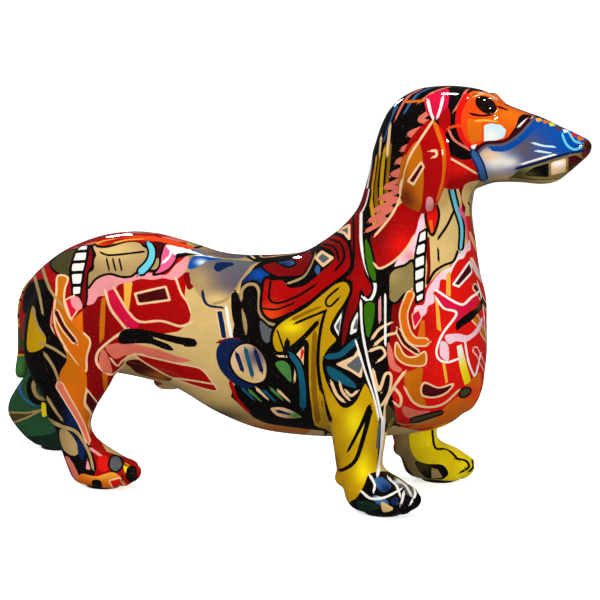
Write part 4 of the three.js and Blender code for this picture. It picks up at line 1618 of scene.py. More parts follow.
    def chest(self) -> list[Mark]:
        """The chest: sand with a red drop, a slanted ladder, and bands that swing across the red."""
        rails = (
            ((57, 32), (55.6, 26), (54.6, 20), (54.4, 14), (54.6, 8), (55, 2), (55.4, -2)),
            ((60.4, 34), (60.2, 28), (59.6, 22), (59.4, 16), (59.2, 10), (59, 4), (58.8, 0)),
        )
        ragged = ((60.4, 4), (64, 10), (68, 14), (72, 16), (75, 21), (82, 29), (83, 24), (79.6, 23),
            (78, 20), (75.4, 19), (73, 15.4), (70.6, 10), (67, 9.6), (66, 5), (63.6, 3.6), (64, -1),
            (61, -3), (60, -6.4), (57, -8.6), (54, -8), (55, -3), (59, -2))
        wave = ((71, 0.6), (77.4, -2.2), (82, 1.6), (87.6, 4.6))
        fold = ((64.8, 1), (68.6, -4), (74.6, -6.4), (68, -16), (65, -24), (66.4, -28.4), (70.4, -29.6),
            (75.4, -28))
        return [
            stroke(Ink.BLACK, (73.6, 43), (70, 35.4), (66, 29.6), w=1.2),
            stroke(Ink.BLACK, (65.8, 24), (66, 19), w=1.0),
            blob(Ink.SCARLET, (60, 43), (64.4, 46), (66.2, 40), (63.4, 31), (60.6, 35), rim=Ink.BLACK,
                edge=0.6),
            facet(Ink.ORANGE, (61.4, 38), (63, 38), (63.4, 32.4), (62.4, 31.6)),
            stroke(Ink.WINE, (60.6, 29), (61, 22), (61.4, 15), (60.6, 8), w=2.2, end=1.4),
            *ladder(Ink.IVORY, *rails, Ink.BLACK),
            blob(Ink.BLUSH, *ragged, mists=(Mist(Ink.IVORY, (74, 18), (7, 5)),)),
            stroke(Ink.BLACK, (61, 8), (64, 13.4), (68.6, 16.6), (73, 18.4), (75, 23), w=1.2),
            stroke(Ink.CYAN, (72.4, 52), (74.4, 44), (77, 35), (76.6, 25), w=3.0, end=2.2, rim=Ink.BLACK),
            stroke(Ink.BERRY, (76.4, 43), (79.4, 37), (80.2, 29), w=2.4, end=1.6),
            stroke(Ink.WINE, (76.2, 55), (78, 49), (78.4, 43), w=2.6),
            facet(Ink.GOLD, (69.6, 12), (71.6, 14), (71.8, 1.6), (69.6, 2.4)),
            facet(Ink.GOLD, (64.4, 0), (65.8, 0), (67.4, -15), (65.2, -14)),
            facet(Ink.MAROON, (80.8, 18.4), (82.6, 14), (75.6, 6.4), (73, 7.4), rim=Ink.IVORY, edge=0.5),
            facet(Ink.ROSE, (65, 4), (71, 0), (77.6, -3), (87.4, 3), (84, -2.4), (79, -6), (74.4, -10.4),
                (71.4, -10.4), (74.6, -6.4), (68.6, -4)),
            stroke(Ink.IVORY, (65, 4.6), (71, 0.6), w=1.2),
            stroke(Ink.IVORY, *wave, w=1.2),
            stroke(Ink.IVORY, *fold, w=1.1),
            blob(Ink.BLACK, (74.4, -11), (79, -7), (84, -3.6), (90, 1), (90, -3.6), (84.6, -6.6),
                (82, -9.4), (77, -12.8), (74.6, -14.6), mists=(Mist(Ink.OLIVE, (86, -3), (3, 2)),)),
            blob(Ink.BLUSH, (69, -17), (75, -16), (80.6, -16.6), (86, -11), (90, -8), (90, -11.6),
                (84, -16.6), (79, -20), (74.4, -19.6), (71, -21)),
            blob(Ink.BLUSH, (67, -20), (70, -20.6), (71, -25), (70.4, -29), (66.8, -26.4)),
            facet(Ink.YELLOW, (74.6, -22), (77, -21), (79.4, -31), (81.6, -39), (78.4, -40.6), (76, -32),
                mists=(Mist(Ink.IVORY, (76, -24), (3, 5)),)),
            stroke(Ink.IVORY, (78.6, -20), (80.4, -30), (83.4, -37), w=1.0),
            stroke(Ink.IVORY, (83.8, -36), (86, -31), (88.4, -26), w=1.6),
            stroke(Ink.ORANGE, (52.4, 2.4), (49.4, -6), (50.4, -14), (54, -19.4), (59.4, -20), w=3.8,
                rim=Ink.CREAM, edge=0.4),
            facet(Ink.ROSE, (53.2, -7), (54.4, -14), (58, -8.4), (56.6, -4.6), rim=Ink.CREAM, edge=0.3),
            facet(Ink.ORANGE, (57.6, -10), (59.4, -9.4), (59.6, -18), (56, -17.4)),
            blob(Ink.AMBER, (46, -20), (50, -26.4), (55, -27), (59.6, -24.6), (59.6, -30.6), (54, -31.4),
                (48.6, -29.8), (45.4, -26), rim=Ink.CREAM, edge=0.4),
            stroke(Ink.MAROON, (47, -15), (50, -20.6), (55.4, -24.6), w=2.4, rim=Ink.CREAM, edge=0.4),
            blob(Ink.CORAL, (41.6, -20), (44, -24), (45.4, -30), (48.6, -33), (46.6, -34.4), (42.4, -31)),
            blob(Ink.AMBER, (49.6, -36), (53, -33.6), (58.4, -32.6), (57.6, -42), (60, -50), (56, -50.6),
                (51.6, -45)),
            blob(Ink.MAROON, (59, -39.4), (66, -41.8), (73, -40), (69.4, -44.4), (63.4, -46.4), (58, -45),
                rim=Ink.CREAM, edge=0.45),
            facet(Ink.GOLD, (67.6, -30), (69, -29.6), (70.6, -39), (69.4, -40)),
            stroke(Ink.CREAM, (50, -42), (54, -48.6), (60, -51), (68, -49.6), (75.6, -43), w=1.1),
            blob(Ink.ORANGE, (70, -50), (76, -45), (80.6, -39), (84.6, -35.6), (89, -35), (87, -46),
                (78, -56), (66, -64), (52, -64), (58, -58), (66, -54), mists=(Mist(Ink.VERMILION, (82, -44),
                (6, 4)),)),
            blob(Ink.CORAL, (49, -50.6), (56, -52.6), (62, -53), (57, -56), (50, -55.4)),
            oval(Ink.OLIVE, (78.6, -44), (3.2, 2.0), 35, rim=Ink.BLACK, edge=0.4),
            stroke(Ink.OLIVE, (54, -57.4), (60, -55.6), (67, -53.6), w=2.8, end=1.8, rim=Ink.BLACK,
                edge=0.4),
            stroke(Ink.TAN, (47, -60), (56, -59.4), (64, -57), w=1.2),
        ]

    def head(self) -> list[Mark]:
        """The head: fine lines on a black crown, an orange face and a red jaw."""
        face = ((79.6, 97.6), (84, 100.4), (90, 101), (98, 95), (108, 91), (112, 88.6), (108, 87),
            (104.4, 83.6), (100.6, 78.6), (97.6, 75.8), (88, 74.8), (80.6, 72.6), (76.4, 77), (74.4, 84),
            (76, 91.6))
        lines = (
            (Ink.CORAL, (58, 103), (50, 95), (45.4, 86)),
            (Ink.STEEL, (63, 104), (55, 97), (49.6, 89)),
            (Ink.CORAL, (71, 104), (62, 98), (56.6, 94)),
            (Ink.ORANGE, (51, 94.4), (59, 95), (65, 96.4)),
            (Ink.CORAL, (80, 102), (76.6, 95), (73.4, 90)),
            (Ink.STEEL, (46, 92), (41.6, 84), (39, 76)),
        )
        return [
            *(stroke(ink, *points, w=1.3, end=0.9) for ink, *points in lines),
            blob(Ink.ROSE, (59.6, 96), (65, 99), (70.6, 101.6), (70.6, 93), (67, 87), (61, 88)),
            stroke(Ink.IVORY, (61, 94.4), (62, 90), (63.4, 86.4), w=1.7, end=1.2),
            stroke(Ink.IVORY, (68, 96), (66.8, 91), (65.4, 87), w=1.5, end=1.0),
            blob(Ink.RED, (66, 86), (70.6, 91.6), (71.6, 84), (68.6, 79)),
            blob(Ink.VERMILION, *face, mists=(Mist(Ink.ORANGE, (100, 88), (12, 8)), Mist(Ink.ORANGE,
                (88, 99), (7, 4)))),
            stroke(Ink.SCARLET, (79, 96.6), (76, 90.6), (75.4, 83.6), (77.4, 77), (81, 73.2), w=3.2,
                end=2.0),
            facet(Ink.ORANGE, (79.6, 86.4), (86.8, 85.8), (86.2, 76), (81.6, 74.6), (79.6, 80)),
            facet(Ink.ICE, (87.6, 83.2), (91, 84.2), (95.6, 83.4), (98.2, 81), (97.2, 77.4), (93, 75.8),
                (87.6, 75.2), mists=(Mist(Ink.IVORY, (91, 78), (4, 3)),)),
            stroke(Ink.GOLD, (84.6, 85.4), (89, 85.6), (93.4, 85), w=1.2, end=0.8),
            oval(Ink.BLACK, (88.6, 93), (5.6, 3.6), -32, mists=(Mist(Ink.MAROON, (88, 93), (3, 2)),)),
            stroke(Ink.BLACK, (81.6, 88.6), (86, 87.8), (91, 88.2), w=1.1, end=0.8),
            # The cream stroke over the eye is a painted highlight on the brow.
            stroke(Ink.CREAM, (83.6, 97.4), (88.4, 99), (94, 95.4), w=1.3, end=0.9),
            stroke(Ink.MAROON, (94.6, 92), (98.4, 90.6), w=1.1, end=0.8),
            blob(Ink.BLACK, (98, 76), (102.6, 82.4), (104.6, 87.4), (109, 89.2), (111.6, 87.6),
                (106.4, 83.6), (102.4, 78.8)),
            stroke(Ink.IVORY, (104.4, 82.8), (107.4, 85.4), (110.4, 87.4), w=1.2),
            blob(Ink.RED, (66, 70), (71, 69.2), (77, 66.8), (83, 66.4), (86, 58), (80, 54), (68, 54),
                mists=(Mist(Ink.SCARLET, (76, 62), (6, 4)),)),
            stroke(Ink.CREAM, (69.6, 68.4), (76, 65), (83.4, 60.6), w=1.1),
            stroke(Ink.CORAL, (71, 80.6), (73.6, 76), (80, 72), w=1.2),
            stroke(Ink.VERMILION, (71, 82), (75, 83), (79, 82.6), w=1.3),
            facet(Ink.IVORY, (81, 73.4), (84.6, 74.4), (82.6, 71)),
            blob(Ink.SAND, (78.6, 55), (85, 56.4), (83, 50.6), (79.6, 44), (77, 48.6)),
        ]

    def muzzle(self) -> list[Mark]:
        """The muzzle: blue fading to violet and cream, with loose lines and chips of colour on the bridge."""
        shape = ((84.4, 69.6), (88.4, 73.2), (97, 74), (104.6, 79), (111.4, 86.6), (120, 88), (134, 84),
            (146, 76), (146, 62), (134, 54), (110, 50), (88, 52), (86, 58), (87, 64))
        fades = (
            Mist(Ink.MAUVE, (106, 73), (9, 7)),
            Mist(Ink.IVORY, (93, 66), (7, 5)),
            Mist(Ink.CREAM, (90, 69), (5, 3)),
            Mist(Ink.IVORY, (99, 65.4), (5, 2.4)),
            Mist(Ink.SAND, (98, 56), (14, 4.6)),
            Mist(Ink.MAUVE, (116, 67), (9, 2.6)),
            Mist(Ink.SAND, (122, 58), (12, 4)),
        )
        bridge = (
            (Ink.GOLD, 113.6, 86.6), (Ink.ORANGE, 117, 85.8), (Ink.YELLOW, 120, 84.4),
            (Ink.RUST, 123.4, 82.6), (Ink.IVORY, 126.6, 81.4), (Ink.SCARLET, 130.4, 79.4),
            (Ink.ORANGE, 133.4, 77.6),
        )
        return [
            facet(Ink.BLUE, *shape, mists=fades),
            stroke(Ink.BLUE, (92, 72.4), (98, 72.6), (106, 77.6), (113, 85.6), w=3.0, end=3.6),
            stroke(Ink.MAUVE, (84.4, 69.6), (88.6, 73.4), (97, 74.2), (104.8, 79.2), (111.6, 86.8), w=1.3),
            stroke(Ink.MAROON, (82.8, 70.8), (88, 74.9), (96.8, 75.8), (103.4, 80.4), (110, 87.6), w=1.2),
            stroke(Ink.STEEL, (83, 69.4), (85.8, 64), (87.6, 57), w=3.6, rim=Ink.NAVY, edge=0.4),
            *(facet(ink, (u - 1.6, v + 0.2), (u + 1, v + 1.6), (u + 1.8, v - 1.2), (u - 0.8,
                v - 1.9)) for ink, u, v in bridge),
            # The sand mist along the jaw's lower edge is a painted highlight; the olive mist and the khaki
            # are print.
            facet(Ink.KHAKI, (99, 57), (104, 62), (112, 64.4), (122, 67.6), (134, 70.6), (146, 66),
                (134, 48), (100, 48), mists=(Mist(Ink.SAND, (120, 54), (14, 3)), Mist(Ink.OLIVE, (104, 60),
                (5, 3)))),
            blob(Ink.RUST, (135, 75.4), (138, 76), (143, 71), (138, 66), (134.2, 68.6),
                mists=(Mist(Ink.BLACK, (139, 73), (4, 3)),)),
            stroke(Ink.CYAN, (125, 78.6), (127, 74), (130.6, 71.6), (134, 72.8), w=1.1),
            stroke(Ink.CYAN, (128, 80), (130.6, 75.8), (133.6, 74.8), w=1.0),
            stroke(Ink.ICE, (111.6, 74.6), (116, 73.4), (121, 73), w=1.2, end=0.7),
            stroke(Ink.ICE, (113, 71), (119, 70), w=1.1, end=0.7),
            stroke(Ink.NAVY, (103, 62.6), (112, 65), (120, 67.6), (128, 69.8), (135, 71), w=1.2),
            stroke(Ink.IVORY, (106, 64.8), (114, 67.2), (121, 69.2), w=1.0),
            facet(Ink.BLACK, (107, 60.4), (112, 63.4), (118.4, 65.2), (118.4, 58.6), (108, 59),
                mists=(Mist(Ink.OLIVE, (110, 60), (3, 1.4)),)),
            facet(Ink.CREAM, (119.6, 65.6), (126.6, 67.6), (126.6, 61), (119.6, 59.4),
                mists=(Mist(Ink.IVORY, (123, 65), (3, 2)),)),
            facet(Ink.MAROON, (127.8, 68), (131, 69), (135, 67), (130.4, 61), (127.8, 61.4),
                mists=(Mist(Ink.OLIVE, (131, 63), (2, 2)),)),
            stroke(Ink.OLIVE, (102, 58), (112, 56.4), (122, 56.8), w=1.4, end=1.0),
        ]

    def foot(self) -> list[Mark]:
        """The near fore paw: steel and cream lines over black toes."""
        lines = (
            ((29.6, -91.4), (34, -94.6), (41, -93.8), (48, -90)),
            ((42.4, -84), (46, -88.4), (47.6, -93)),
            ((46.4, -84.4), (50.4, -88.4), (53, -93)),
            ((49.4, -92), (48, -98)),
            ((33.6, -84), (35.6, -88), (35, -91)),
            ((53, -87), (55, -92), (52.6, -97)),
        )
        return [
            blob(Ink.BLACK, (33, -83), (40, -81.6), (50, -83), (58, -90), (58, -104), (26, -104), (22, -98),
                (27, -94), (30.6, -88)),
            stroke(Ink.IVORY, (39.6, -57), (39, -70), (37, -83), w=2.0, end=1.6),
            stroke(Ink.GREY, (37.8, -60), (36.8, -70), w=1.4),
            blob(Ink.STEEL, (35.6, -85), (40, -84.4), (43.6, -88.6), (40, -91.6), (36.4, -89),
                mists=(Mist(Ink.NAVY, (41, -90), (3, 3)),)),
            blob(Ink.GREY, (44, -84.6), (47.6, -84.6), (50, -88), (47.6, -89.4), mists=(Mist(Ink.ICE,
                (46, -86), (2, 1)),)),
            blob(Ink.GREY, (49.4, -87.6), (53.6, -89), (54.6, -93.6), (51, -92.4)),
            blob(Ink.STEEL, (35, -93), (41, -95), (42, -98), (36.4, -97), mists=(Mist(Ink.ICE, (38, -94),
                (2, 1)),)),
            *(stroke(Ink.IVORY, *line, w=1.3, end=1.0) for line in lines),
            blob(Ink.PINE, (27, -96), (33.6, -96), (38, -99), (30, -101)),
            blob(Ink.SAND, (38.6, -96), (41, -97), (44.6, -99.6), (39.6, -101)),
            blob(Ink.NAVY, (44, -94), (46.6, -94.6), (46, -98), (43.4, -96.6)),
        ]

    def spine(self) -> list[Mark]:
        """What shows only from above: the same bands and slots, carried over the ridge of the back."""
        dots = [oval(Ink.STEEL if k % 2 else Ink.NAVY, (-48 + 5 * k, 36 - 1.2 * k),
            (1.6, 1.1), 20) for k in range(5)]
        return [
            stroke(Ink.GOLD, (-108, 38), (-98, 43), (-88, 42), w=2.4, end=1.2),
            facet(Ink.MAROON, (-84, 46), (-70, 46.6), (-69, 40.6), (-82, 40), rim=Ink.CREAM, edge=0.5),
            stroke(Ink.ROSE, (-68, 50), (-62, 42), (-54, 37), w=4.0, end=2.4, rim=Ink.CREAM, edge=0.4),
            stroke(Ink.CREAM, (-112, 32), (-104, 40), (-96, 48), w=1.2),
            blob(Ink.CORAL, (-66, 36), (-58, 33), (-52, 35), (-54, 41), (-60, 38)),
            blob(Ink.MAUVE, (-50, 28), (-40, 25), (-28, 25), (-24, 34), (-34, 40), (-46, 38),
                mists=(Mist(Ink.TAN, (-46, 33), (7, 6)),)),
            *dots,
            stroke(Ink.BLACK, (-50, 29), (-44, 35), (-42, 42), w=1.6, end=0.8),
            blob(Ink.WINE, (-18, 27), (-8, 29), (4, 30), (6, 36), (-6, 40), (-17, 35), rim=Ink.CREAM,
                edge=0.5),
            facet(Ink.MUSTARD, (-6, 31), (3, 33), (-3, 38), rim=Ink.BLACK, edge=0.5),
            stroke(Ink.TEAL, (8, 30), (12, 38), (10, 46), w=3.0, end=1.6, rim=Ink.CREAM, edge=0.4),
            stroke(Ink.CREAM, (-22, 26), (-24, 34), (-20, 42), w=1.2),
        ]

    def breast(self) -> list[Mark]:
        """What shows only from the front: garlands that cross the red from side to side."""
        bands = (
            (Ink.GOLD, 28, 2.2), (Ink.BLUSH, 15, 4.2), (Ink.MAROON, 3, 3.4), (Ink.AMBER, -12, 4.2),
            (Ink.ROSE, -27, 3.2),
        )
        return [
            blob(Ink.TAN, (80, 48), (86, 44), (88, 32), (94, 29), (112, 34), (112, 60), (84, 60),
                rim=Ink.BLACK),
            *(stroke(ink, (84, v + 3), (92, v - 4), (101, v - 7), (112, v - 6), w=wide, rim=Ink.CREAM,
                edge=0.4) for ink, v, wide in bands),
            *(stroke(Ink.IVORY, (87 + 4 * k, 8 - 12 * k), (90 + 4 * k, -2 - 12 * k),
                w=1.2) for k in range(3)),
            facet(Ink.BERRY, (96, 42), (103, 46), (104, 40), (98, 37), rim=Ink.BLACK, edge=0.5),
        ]

    def near_side(self) -> list[Mark]:
        """Everything printed on the sheet that wraps the body, the head and the right legs."""
        low = self.rump() + self.haunch() + self.hind_leg() + self.flank() + self.swirl() + self.limb()
        wrapped = self.spine() + self.breast()
        high = self.scrawl() + self.neck() + self.chest() + self.head() + self.muzzle() + self.foot()
        return self.grounds() + wrapped + low + high

    def ear(self) -> list[Mark]:
        """The ears' own sheet: amber behind, deep red in front and an orange front edge."""
        return [
            blob(Ink.AMBER, (44, 62), (50, 69), (56, 75.6), (58.6, 66), (58.6, 52), (56.6, 42), (48, 40),
                (42, 50), mists=(Mist(Ink.RUST, (50, 48), (6, 8)),)),
            stroke(Ink.SCARLET, (66.6, 86), (71, 74), (71, 60), (68, 48), w=5.0),
            stroke(Ink.ORANGE, (62.6, 89), (65.6, 80), (68.4, 71), (68.4, 58), (65.6, 48), w=2.2, end=1.6),
            stroke(Ink.CREAM, (63, 85), (57.6, 77), (52, 68), (48.4, 58), (47.6, 50), w=1.2),
            facet(Ink.MAROON, (57.6, 65.6), (59, 63.4), (54, 55), (51.4, 56.6), rim=Ink.CREAM, edge=0.5),
            stroke(Ink.CREAM, (62.6, 71), (64.8, 71), (65, 68.8), (63.6, 68), w=1.2),
            blob(Ink.PINK, (60.6, 49), (63.4, 48), (63, 42.6), (60, 43)),
        ]

    def tail(self) -> list[Mark]:
        """The tail's own sheet: black bars on yellow, then olive, red and green."""
        return [
            blob(Ink.OLIVE, (-140, 50), (-110, 50), (-112, 10), (-124, 12), (-136, 12)),
            stroke(Ink.BLACK, (-138, 3), (-120, 5), w=1.4),
            stroke(Ink.BLACK, (-138, -0.4), (-120, 1.6), w=1.2),
            stroke(Ink.BLACK, (-138, -8.4), (-120, -4), w=2.4),
            stroke(Ink.TAN, (-138, -11.4), (-120, -7.6), w=1.4),
            facet(Ink.OLIVE, (-142, -14), (-118, -11), (-118, -24), (-142, -24)),
            stroke(Ink.WINE, (-142, -25), (-118, -24.4), w=1.8),
            facet(Ink.BOTTLE, (-144, -27), (-118, -26.4), (-118, -50), (-144, -50), mists=(Mist(Ink.LEAF,
                (-132, -32), (4, 6)),)),
            stroke(Ink.BLACK, (-144, -38), (-118, -36), w=1.3),
        ]

    def far_hind_leg(self) -> list[Mark]:
        """The left hind leg's sheet: green below the near side's print, with a crescent and a wedge."""
        return self.near_side() + [
            blob(Ink.BOTTLE, (-160, -16), (-138, -20), (-124, -26), (-112, -24), (-96, -30), (-90, -110),
                (-160, -110)),
            stroke(Ink.BLACK, (-114, -31), (-122, -34), (-127.6, -40), (-126, -47), (-119, -48), w=6.4,
                end=4.0),
            stroke(Ink.TAN, (-115, -31.4), (-122, -34.6), (-126.8, -40), (-125, -46), (-119.6, -47.4),
                w=2.6, end=1.6),
            oval(Ink.LEAF, (-120.6, -42), (3.0, 3.8), 0, rim=Ink.BLACK, edge=0.5),
            facet(Ink.RED, (-121.6, -37.4), (-117, -36.6), (-117, -41)),
            facet(Ink.OLIVE, (-141, -53.4), (-130, -53.8), (-122, -52), (-130, -56), (-138, -59),
                rim=Ink.TAN, edge=0.4),
            blob(Ink.YELLOW, (-123, -49), (-120.6, -50), (-120, -54), (-122.6, -55.6)),
            blob(Ink.PINE, (-150, -62), (-136, -65), (-120, -64), (-108, -60), (-108, -80), (-150, -80)),
            stroke(Ink.STEEL, (-134, -40), (-132, -46), (-127, -50), w=1.6, end=0.9),
        ]

    def far_foreleg(self) -> list[Mark]:
        """The left foreleg's sheet: yellow below the near side's print, rust behind and a dark sole line."""
        return self.near_side() + [
            blob(Ink.YELLOW, (28, -34), (44, -38), (60, -34), (76, -40), (104, -60), (104, -110),
                (20, -110)),
            blob(Ink.RUST, (38, -54), (46, -56), (46.6, -68), (44, -74), (38, -72),
                mists=(Mist(Ink.VERMILION, (43, -68), (2, 2)),)),
            blob(Ink.KHAKI, (46, -54), (52.4, -56), (52, -66), (54, -74), (60, -79), (66, -84), (56, -88),
                (49, -80), (45, -71), mists=(Mist(Ink.TAN, (49, -64), (2.4, 8)),)),
            stroke(Ink.BLACK, (41, -71), (46, -74.4), (51, -81), (57, -86), (70, -88), w=1.8, end=1.4),
            blob(Ink.BLACK, (54.6, -77), (61, -78), (68, -78.6), (70.6, -83), (66, -86), (59, -84),
                mists=(Mist(Ink.OLIVE, (58, -79), (4, 3)),)),
            facet(Ink.TAN, (62.6, -79.8), (65.6, -80.6), (68, -84.6), (62.6, -85)),
            stroke(Ink.BLACK, (63, -62), (64.4, -70.4), (70, -71), (75, -75.6), w=1.1),
            stroke(Ink.BLACK, (74.4, -75.6), (79, -76.6), (80.4, -79.6), (76.6, -82), w=1.1),
            stroke(Ink.BLACK, (82, -76.4), (82.4, -79.6), (80.6, -81.6), w=1.0),
            stroke(Ink.BLACK, (68, -87.6), (76, -87), (84, -84.6), w=1.6, end=1.0),
            stroke(Ink.BLACK, (52, -20), (56, -34), (54, -48), w=1.6, end=1.0),
            stroke(Ink.BLACK, (64, -24), (61, -38), (62, -50), w=1.6, end=1.0),
        ]


class Graph:
    """A material's shader nodes, added one at a time."""

    def __init__(self, name: str) -> None:
        """Starts a material with only its output.

        Args:
            name: The material's name.
        """
        self.material = bpy.data.materials.new(name)
        self.material.use_nodes = True
        self.tree = self.material.node_tree
        self.tree.nodes.clear()

    def node(self, kind: str, settings: dict | None = None, sockets: dict | None = None) -> bpy.types.Node:
        """Adds a node.

        Args:
            kind: The node's type.
            settings: Its properties, which are set first.
            sockets: What its inputs hold: a value, or another node's output.

        Returns:
            The node.
        """
        made = self.tree.nodes.new(kind)
        for key, value in (settings or {}).items():
            setattr(made, key, value)
        for key, value in (sockets or {}).items():
            self.plug(made.inputs[key], value)
        return made

    def plug(self, end: bpy.types.NodeSocket, value: object) -> None:
        """Links an output to an input, or sets the input to a value.

        Args:
            end: The input.
            value: A Wave, an output or a plain value.

        Returns:
            None.
        """
        source = value.socket if isinstance(value, Wave) else value
        if isinstance(source, bpy.types.NodeSocket):
            self.tree.links.new(source, end)
        else:
            end.default_value = source

    def mix(self, share: "Wave", first: object, second: object) -> bpy.types.NodeSocket:
        """Mixes two colours.

        Args:
            share: How much of the second shows.
            first: The colour at 0.
            second: The colour at 1.

        Returns:
            The mixed colour's socket.
        """
        made = self.node("ShaderNodeMix", {"data_type": "RGBA"}, {0: share, 6: first, 7: second})
        return made.outputs[2]

    def noise(self, size: float, detail: float = 2.0, roughness: float = 0.5) -> "Wave":
        """A soft random pattern fixed to the object.

        Args:
            size: The size of its patches in millimetres.
            detail: How many finer layers it has.
            roughness: How strong those are.

        Returns:
            A value from 0 to 1, near 0.5 on average.
        """
        place = self.node("ShaderNodeTexCoord").outputs["Object"]
        sockets = {"Vector": place, "Scale": 1 / (size * MM), "Detail": detail, "Roughness": roughness}
        return Wave(self, self.node("ShaderNodeTexNoise", {}, sockets).outputs[0])

    def bump(self, height: "Wave", depth: float, after: object = None) -> bpy.types.NodeSocket:
        """Turns a height into a bent normal.

        Args:
            height: The height, from 0 to 1.
            depth: How deep 1 is, in millimetres.
            after: A normal to add it to.

        Returns:
            The normal's socket.
        """
        sockets = {"Height": height, "Distance": depth * MM, "Strength": 1.0}
        if after is not None:
            sockets["Normal"] = after
        return self.node("ShaderNodeBump", {}, sockets).outputs[0]

    def finish(self, sockets: dict) -> bpy.types.Material:
        """Adds the surface shader and the output.

        Args:
            sockets: What the shader's inputs hold.

        Returns:
            The finished material.
        """
        shader = self.node("ShaderNodeBsdfPrincipled", {}, sockets)
        self.node("ShaderNodeOutputMaterial", {}, {"Surface": shader.outputs[0]})
        return self.material


@dataclass(frozen=True)
class Wave:
    """A number that changes over a surface, so that sums on it can be written as Python."""

    graph: Graph
    socket: bpy.types.NodeSocket

    def sum(self, kind: str, first: object, second: object = 0.0, clamp: bool = False) -> "Wave":
        """Adds a Math node.

        Args:
            kind: The node's operation.
            first: Its first value.
            second: Its second value.
            clamp: Whether the answer is kept between 0 and 1.

        Returns:
            The answer.
        """
        settings = {"operation": kind, "use_clamp": clamp}
        made = self.graph.node("ShaderNodeMath", settings, {0: first, 1: second})
        return Wave(self.graph, made.outputs[0])

    def __add__(self, other: object) -> "Wave":
        """Adds."""
        return self.sum("ADD", self, other)

    def __radd__(self, other: object) -> "Wave":
        """Adds, with the number first."""
        return self.sum("ADD", other, self)

    def __sub__(self, other: object) -> "Wave":
        """Takes away."""
        return self.sum("SUBTRACT", self, other)

    def __rsub__(self, other: object) -> "Wave":
        """Takes away from a number."""
        return self.sum("SUBTRACT", other, self)

    def __mul__(self, other: object) -> "Wave":
        """Multiplies."""
        return self.sum("MULTIPLY", self, other)

    def __rmul__(self, other: object) -> "Wave":
        """Multiplies, with the number first."""
        return self.sum("MULTIPLY", other, self)

    def __abs__(self) -> "Wave":
        """Drops the sign."""
        return self.sum("ABSOLUTE", self)

    def over(self, low: float, high: float) -> "Wave":
        """Goes from 0 at low to 1 at high, and stays between them."""
        return self.sum("MULTIPLY", self - low, 1 / (high - low), clamp=True)


@dataclass(frozen=True)
class PrintedLacquer:
    """The printed film under a thick clear lacquer: crisp inks, a slight hand-brushed waver, a wet gloss."""

    depth: int = STACK
    blur: float = 0.2
    waver: float = 0.3
    coat_roughness: float = 0.035

    def material(self, name: str) -> bpy.types.Material:
        """Builds the material.

        Args:
            name: Its name.

        Returns:
            The material, which reads the film's stack of inks from the mesh.
        """
        graph = Graph(name)
        waver = (graph.noise(3.2, 3.0) - 0.5) * self.waver
        colour = graph.node("ShaderNodeAttribute", {"attribute_name": "under"}).outputs["Color"]
        for level in range(self.depth):
            ink = graph.node("ShaderNodeAttribute", {"attribute_name": f"ink_{level}"}).outputs
            reach = graph.node("ShaderNodeAttribute", {"attribute_name": f"reach_{level}"}).outputs["Fac"]
            out = abs(Wave(graph, ink["Alpha"])) - Wave(graph, reach) + waver
            colour = graph.mix(out.over(self.blur / 2, -self.blur / 2), colour, ink["Color"])
        worn = graph.noise(9.0, 4.0, 0.6).over(0.3, 0.75) * 0.16
        dusk = graph.mix(worn, colour, (0.03, 0.022, 0.018, 1))
        specks = graph.noise(0.5, 1.0).over(0.73, 0.78) * 0.35
        inked = graph.mix(specks, dusk, (0.86, 0.8, 0.72, 1))
        peel = graph.bump(graph.noise(6.0, 1.0), 0.05)
        return graph.finish({
            "Base Color": inked,
            "Roughness": 0.34 + 0.2 * graph.noise(4.0, 4.0),
            "Normal": graph.bump(graph.noise(1.1, 2.0), 0.006, peel),
            "Coat Weight": 1.0,
            "Coat Roughness": self.coat_roughness,
            "Coat IOR": 1.45,
            "Specular IOR Level": 0.0,
        })


@dataclass(frozen=True)
class BareClay:
    """The unglazed body of the casting, seen only on joint faces and inside the vent."""

    def material(self, name: str) -> bpy.types.Material:
        """Builds the material under a name."""
        graph = Graph(name)
        cloud = graph.noise(5.0, 5.0, 0.6)
        grit = graph.noise(0.4, 2.0)
        return graph.finish({
            "Base Color": graph.mix(cloud.over(0.3, 0.7), (0.62, 0.52, 0.42, 1), (0.78, 0.7, 0.6, 1)),
            "Roughness": 0.78 + 0.2 * grit,
            "Normal": graph.bump(grit, 0.05),
        })


@dataclass(frozen=True)
class DarkGlass:
    """The eyes' near-black glass, with a brown depth that shows as faint clouds."""

    def material(self, name: str) -> bpy.types.Material:
        """Builds the material under a name."""
        graph = Graph(name)
        depth = graph.noise(2.2, 3.0).over(0.42, 0.72)
        return graph.finish({
            "Base Color": graph.mix(depth, (0.004, 0.003, 0.003, 1), (0.03, 0.012, 0.006, 1)),
            "Roughness": 0.05 + 0.06 * graph.noise(1.6, 2.0),
            "Normal": graph.bump(graph.noise(2.0), 0.003),
            "Coat Weight": 1.0,
            "Coat Roughness": 0.02,
            "IOR": 1.52,
        })


@dataclass(frozen=True)
class WoolFelt:
    """The pads' pressed black felt: short tangled fibres with paler lint."""

    def material(self, name: str) -> bpy.types.Material:
        """Builds the material under a name."""
        graph = Graph(name)
        fibre = graph.noise(0.35, 5.0, 0.75)
        lint = graph.noise(0.9, 3.0).over(0.62, 0.74) * 0.5
        wool = graph.mix(fibre.over(0.3, 0.75), (0.008, 0.008, 0.009, 1), (0.035, 0.034, 0.036, 1))
        return graph.finish({
            "Base Color": graph.mix(lint, wool, (0.11, 0.105, 0.1, 1)),
            "Roughness": 0.86 + 0.14 * fibre,
            "Normal": graph.bump(fibre, 0.22),
            "Sheen Weight": 0.5,
            "Sheen Roughness": 0.4,
        })


